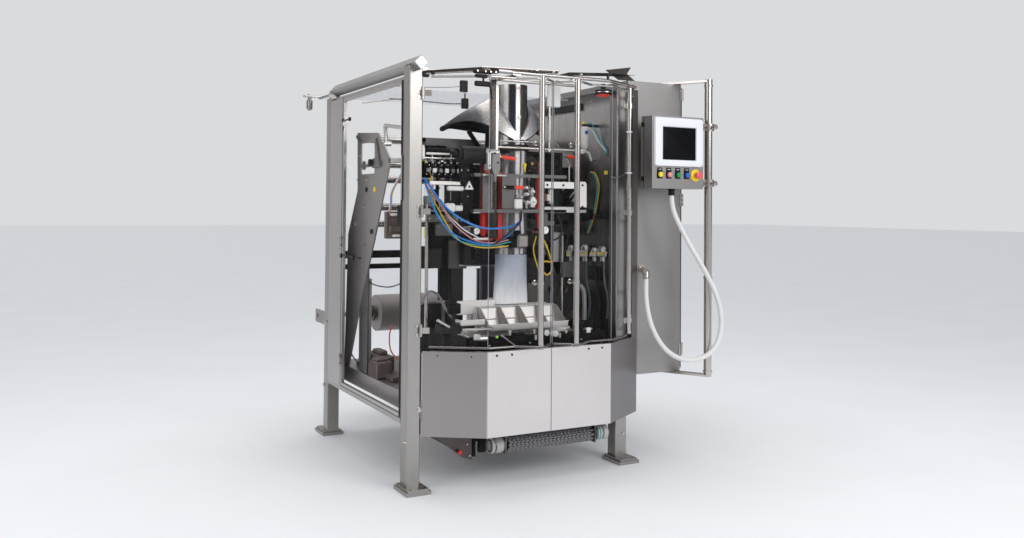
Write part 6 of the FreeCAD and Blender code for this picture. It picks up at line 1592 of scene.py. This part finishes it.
def build_conveyor(sizes):
    """Belt of moulded links on rollers, side frames with end caps, and the knob on the drip tray."""
    coat("frame_sheet", "conveyor_frame")
    coat("tray_sheet", "drip_tray")
    bevelled(1.0, "conveyor_frame", "drip_tray")
    left, right = BELT_LOW[0], BELT_HIGH[0]
    radius = (BELT_HIGH[2] - BELT_LOW[2]) / 2
    centre_z = (BELT_HIGH[2] + BELT_LOW[2]) / 2
    front_y, back_y = BELT_LOW[1] + radius, BELT_HIGH[1] - radius
    run = back_y - front_y
    pitch = 12.7
    total = 2 * run + TAU * radius
    count = int(total / pitch)
    rows = []
    for k in range(count):
        along = k * total / count
        if along < run:
            at, tangent = (front_y + along, centre_z + radius), (1, 0)
        elif along < run + math.pi * radius:
            a = (along - run) / radius
            at, tangent = (back_y + radius * math.sin(a), centre_z + radius * math.cos(a)), (math.cos(a),
                                                                                             -math.sin(a))
        elif along < 2 * run + math.pi * radius:
            at, tangent = (back_y - (along - run - math.pi * radius), centre_z - radius), (-1, 0)
        else:
            a = (along - 2 * run - math.pi * radius) / radius
            at = (front_y - radius * math.sin(a), centre_z - radius * math.cos(a))
            tangent = (-math.cos(a), math.sin(a))
        normal = (-tangent[1], tangent[0])
        half, depth = pitch * 0.38, 5.0
        ring = []
        for u, v in ((-half, -depth), (half, -depth), (half, -1.2), (half * 0.6, 0), (-half * 0.6, 0),
                     (-half, -1.2)):
            ring.append((at[0] + tangent[0] * u + normal[0] * v, at[1] + tangent[1] * u + normal[1] * v))
        offset = pitch * 0.5 if k % 2 else 0
        for x in np.arange(left + 2 + offset, right - 20, 24.0):
            rows.append(prism(ring, "X", x, min(x + 19.0, right - 2)))
    piece("belt_link_rows", rows, "belt_links", replaces=["conveyor_belt"], smooth=25)
    core = [block((left + 4, front_y, centre_z - radius + 7), (right - 4, back_y, centre_z + radius - 7), 2)]
    core += [turned([(12, 0), (radius - 6, 1), (radius - 6, right - left - 9), (12, right - left - 8)],
                    (left + 4, y, centre_z), RIGHTWARDS, 32) for y in (front_y, back_y)]
    piece("belt_bed", core, "black_plastic")
    frame_low, frame_high = box_mm("conveyor_frame")
    caps = [turned([(radius - 1, -60), (radius - 1, 4), (radius - 7, 5), (radius - 7, 3), (radius - 16, 3),
                    (radius - 16, 6), (radius - 26, 7), (4, 8)], (x, front_y, centre_z), way, 40)
            for x, way in ((frame_low[0] + 2, LEFTWARDS), (frame_high[0] - 2, RIGHTWARDS))]
    piece("roller_caps", caps, "cap_plastic")
    marks = [turned([(radius - 9, 0), (radius - 9, 6.5), (12, 6.8)], (frame_low[0] + 3.2, front_y, centre_z),
                    LEFTWARDS, 40)]
    piece("roller_cap_face", marks, "black_oxide")
    spokes = [turn_about(block((frame_low[0] - 5.5, front_y - 2, centre_z + 10),
                               (frame_low[0] - 3, front_y + 2, centre_z + radius - 12), 0.5),
                         np.array((frame_low[0], front_y, centre_z)), "X", 45 * k) for k in range(8)]
    piece("roller_cap_spokes", spokes, "blasted_plate")
    bands = [turned([(radius - 2.5, 0), (radius - 1, 1), (radius - 1, 9), (radius - 2.5, 10)],
                    (x, front_y, centre_z), RIGHTWARDS, 40) for x in (frame_low[0] + 12, frame_high[0] - 34)]
    piece("roller_bands", bands, "black_plastic")
    piece("roller_teal_mark",
          [turned([(radius - 1.2, 0), (radius - 0.6, 1), (radius - 0.6, 8), (radius - 1.2, 9)],
                  (frame_high[0] - 54, front_y, centre_z), RIGHTWARDS, 40)], "teal_line")
    knob = [turned([(6, 0), (6, 6), (13, 8), (13, 20), (11, 22)], (-380, -661, 168), FORWARDS, 4)]
    piece("tray_knob", knob, "red_coat")
    piece("tray_screws",
          screws([(x, -661.5, z) for x, z in ((-540, 334), (-330, 334), (-330, 200), (-316, 140))],
                 FORWARDS, 6), "bright_bar")
    sides = [cap_screw((frame_low[0] + 75, y, centre_z + dz), LEFTWARDS, 6, 6)
             for y in (-560, -400, -220) for dz in (-25, 25)]
    piece("conveyor_screws", sides, "bright_bar")


class MACHINE_OT_stage(bpy.types.Operator):
    """Adds the camera, the floor and the soft studio light"""

    bl_idname = "machine.stage"
    bl_label = "Stage"

    def execute(self, context):
        build_stage(context.scene.machine_camera, context.scene.machine_sizes)
        return {"FINISHED"}


class MACHINE_OT_hose(bpy.types.Operator):
    """Adds the white conduit between the operator panel and the cabinet"""

    bl_idname = "machine.hose"
    bl_label = "Panel hose"

    def execute(self, context):
        build_hose(context.scene.machine_sizes)
        return {"FINISHED"}


class MACHINE_OT_frame(bpy.types.Operator):
    """Finishes the square-tube frame and adds its bolts"""

    bl_idname = "machine.frame"
    bl_label = "Frame"

    def execute(self, context):
        build_frame(context.scene.machine_sizes)
        return {"FINISHED"}


class MACHINE_OT_guards(bpy.types.Operator):
    """Finishes the clear guard doors and the skirt"""

    bl_idname = "machine.guards"
    bl_label = "Guards and skirt"

    def execute(self, context):
        build_guards(context.scene.machine_sizes)
        return {"FINISHED"}


class MACHINE_OT_cabinet(bpy.types.Operator):
    """Finishes the electrical cabinet and adds its hardware"""

    bl_idname = "machine.cabinet"
    bl_label = "Cabinet"

    def execute(self, context):
        build_cabinet(context.scene.machine_sizes)
        return {"FINISHED"}


class MACHINE_OT_panel(bpy.types.Operator):
    """Builds the operator panel's face"""

    bl_idname = "machine.panel"
    bl_label = "Operator panel"

    def execute(self, context):
        build_panel(context.scene.machine_sizes)
        return {"FINISHED"}


class MACHINE_OT_forming(bpy.types.Operator):
    """Builds the forming tube, its shoulder and the film"""

    bl_idname = "machine.forming"
    bl_label = "Forming set"

    def execute(self, context):
        build_forming(context.scene.machine_sizes)
        return {"FINISHED"}


class MACHINE_OT_unwind(bpy.types.Operator):
    """Builds the film roll, the roller cage and their hardware"""

    bl_idname = "machine.unwind"
    bl_label = "Film unwind"

    def execute(self, context):
        build_unwind(context.scene.machine_sizes)
        return {"FINISHED"}


class MACHINE_OT_machinery(bpy.types.Operator):
    """Builds the pull belts, the seal units, the jaws and what drives them"""

    bl_idname = "machine.machinery"
    bl_label = "Machinery"

    def execute(self, context):
        build_machinery(context.scene.machine_sizes)
        return {"FINISHED"}


class MACHINE_OT_conveyor(bpy.types.Operator):
    """Builds the take-off conveyor"""

    bl_idname = "machine.conveyor"
    bl_label = "Conveyor"

    def execute(self, context):
        build_conveyor(context.scene.machine_sizes)
        return {"FINISHED"}


STEPS = (MACHINE_OT_stage, MACHINE_OT_hose, MACHINE_OT_frame, MACHINE_OT_guards, MACHINE_OT_cabinet,
         MACHINE_OT_panel, MACHINE_OT_forming, MACHINE_OT_unwind, MACHINE_OT_machinery, MACHINE_OT_conveyor)


class MACHINE_PT_sidebar(bpy.types.Panel):
    """Lists the groups of pieces in the sidebar"""

    bl_label = "Form Fill Seal Machine"
    bl_space_type = "VIEW_3D"
    bl_region_type = "UI"
    bl_category = "Machine"

    def draw(self, context):
        for step in STEPS:
            self.layout.operator(step.bl_idname)
        for name in ("hose_diameter", "screw_radius", "line_diameter", "floor_colour"):
            self.layout.prop(context.scene.machine_sizes, name)


def register():
    for thing in (MachineSizes, CameraSettings, *STEPS, MACHINE_PT_sidebar):
        bpy.utils.register_class(thing)
    bpy.types.Scene.machine_sizes = bpy.props.PointerProperty(type=MachineSizes)
    bpy.types.Scene.machine_camera = bpy.props.PointerProperty(type=CameraSettings)


def unregister():
    del bpy.types.Scene.machine_camera
    del bpy.types.Scene.machine_sizes
    for thing in (MACHINE_PT_sidebar, *reversed(STEPS), CameraSettings, MachineSizes):
        bpy.utils.unregister_class(thing)


def main():
    register()
    for step in STEPS:
        group, name = step.bl_idname.split(".")
        getattr(getattr(bpy.ops, group), name)()


if __name__ == "__main__":
    main()
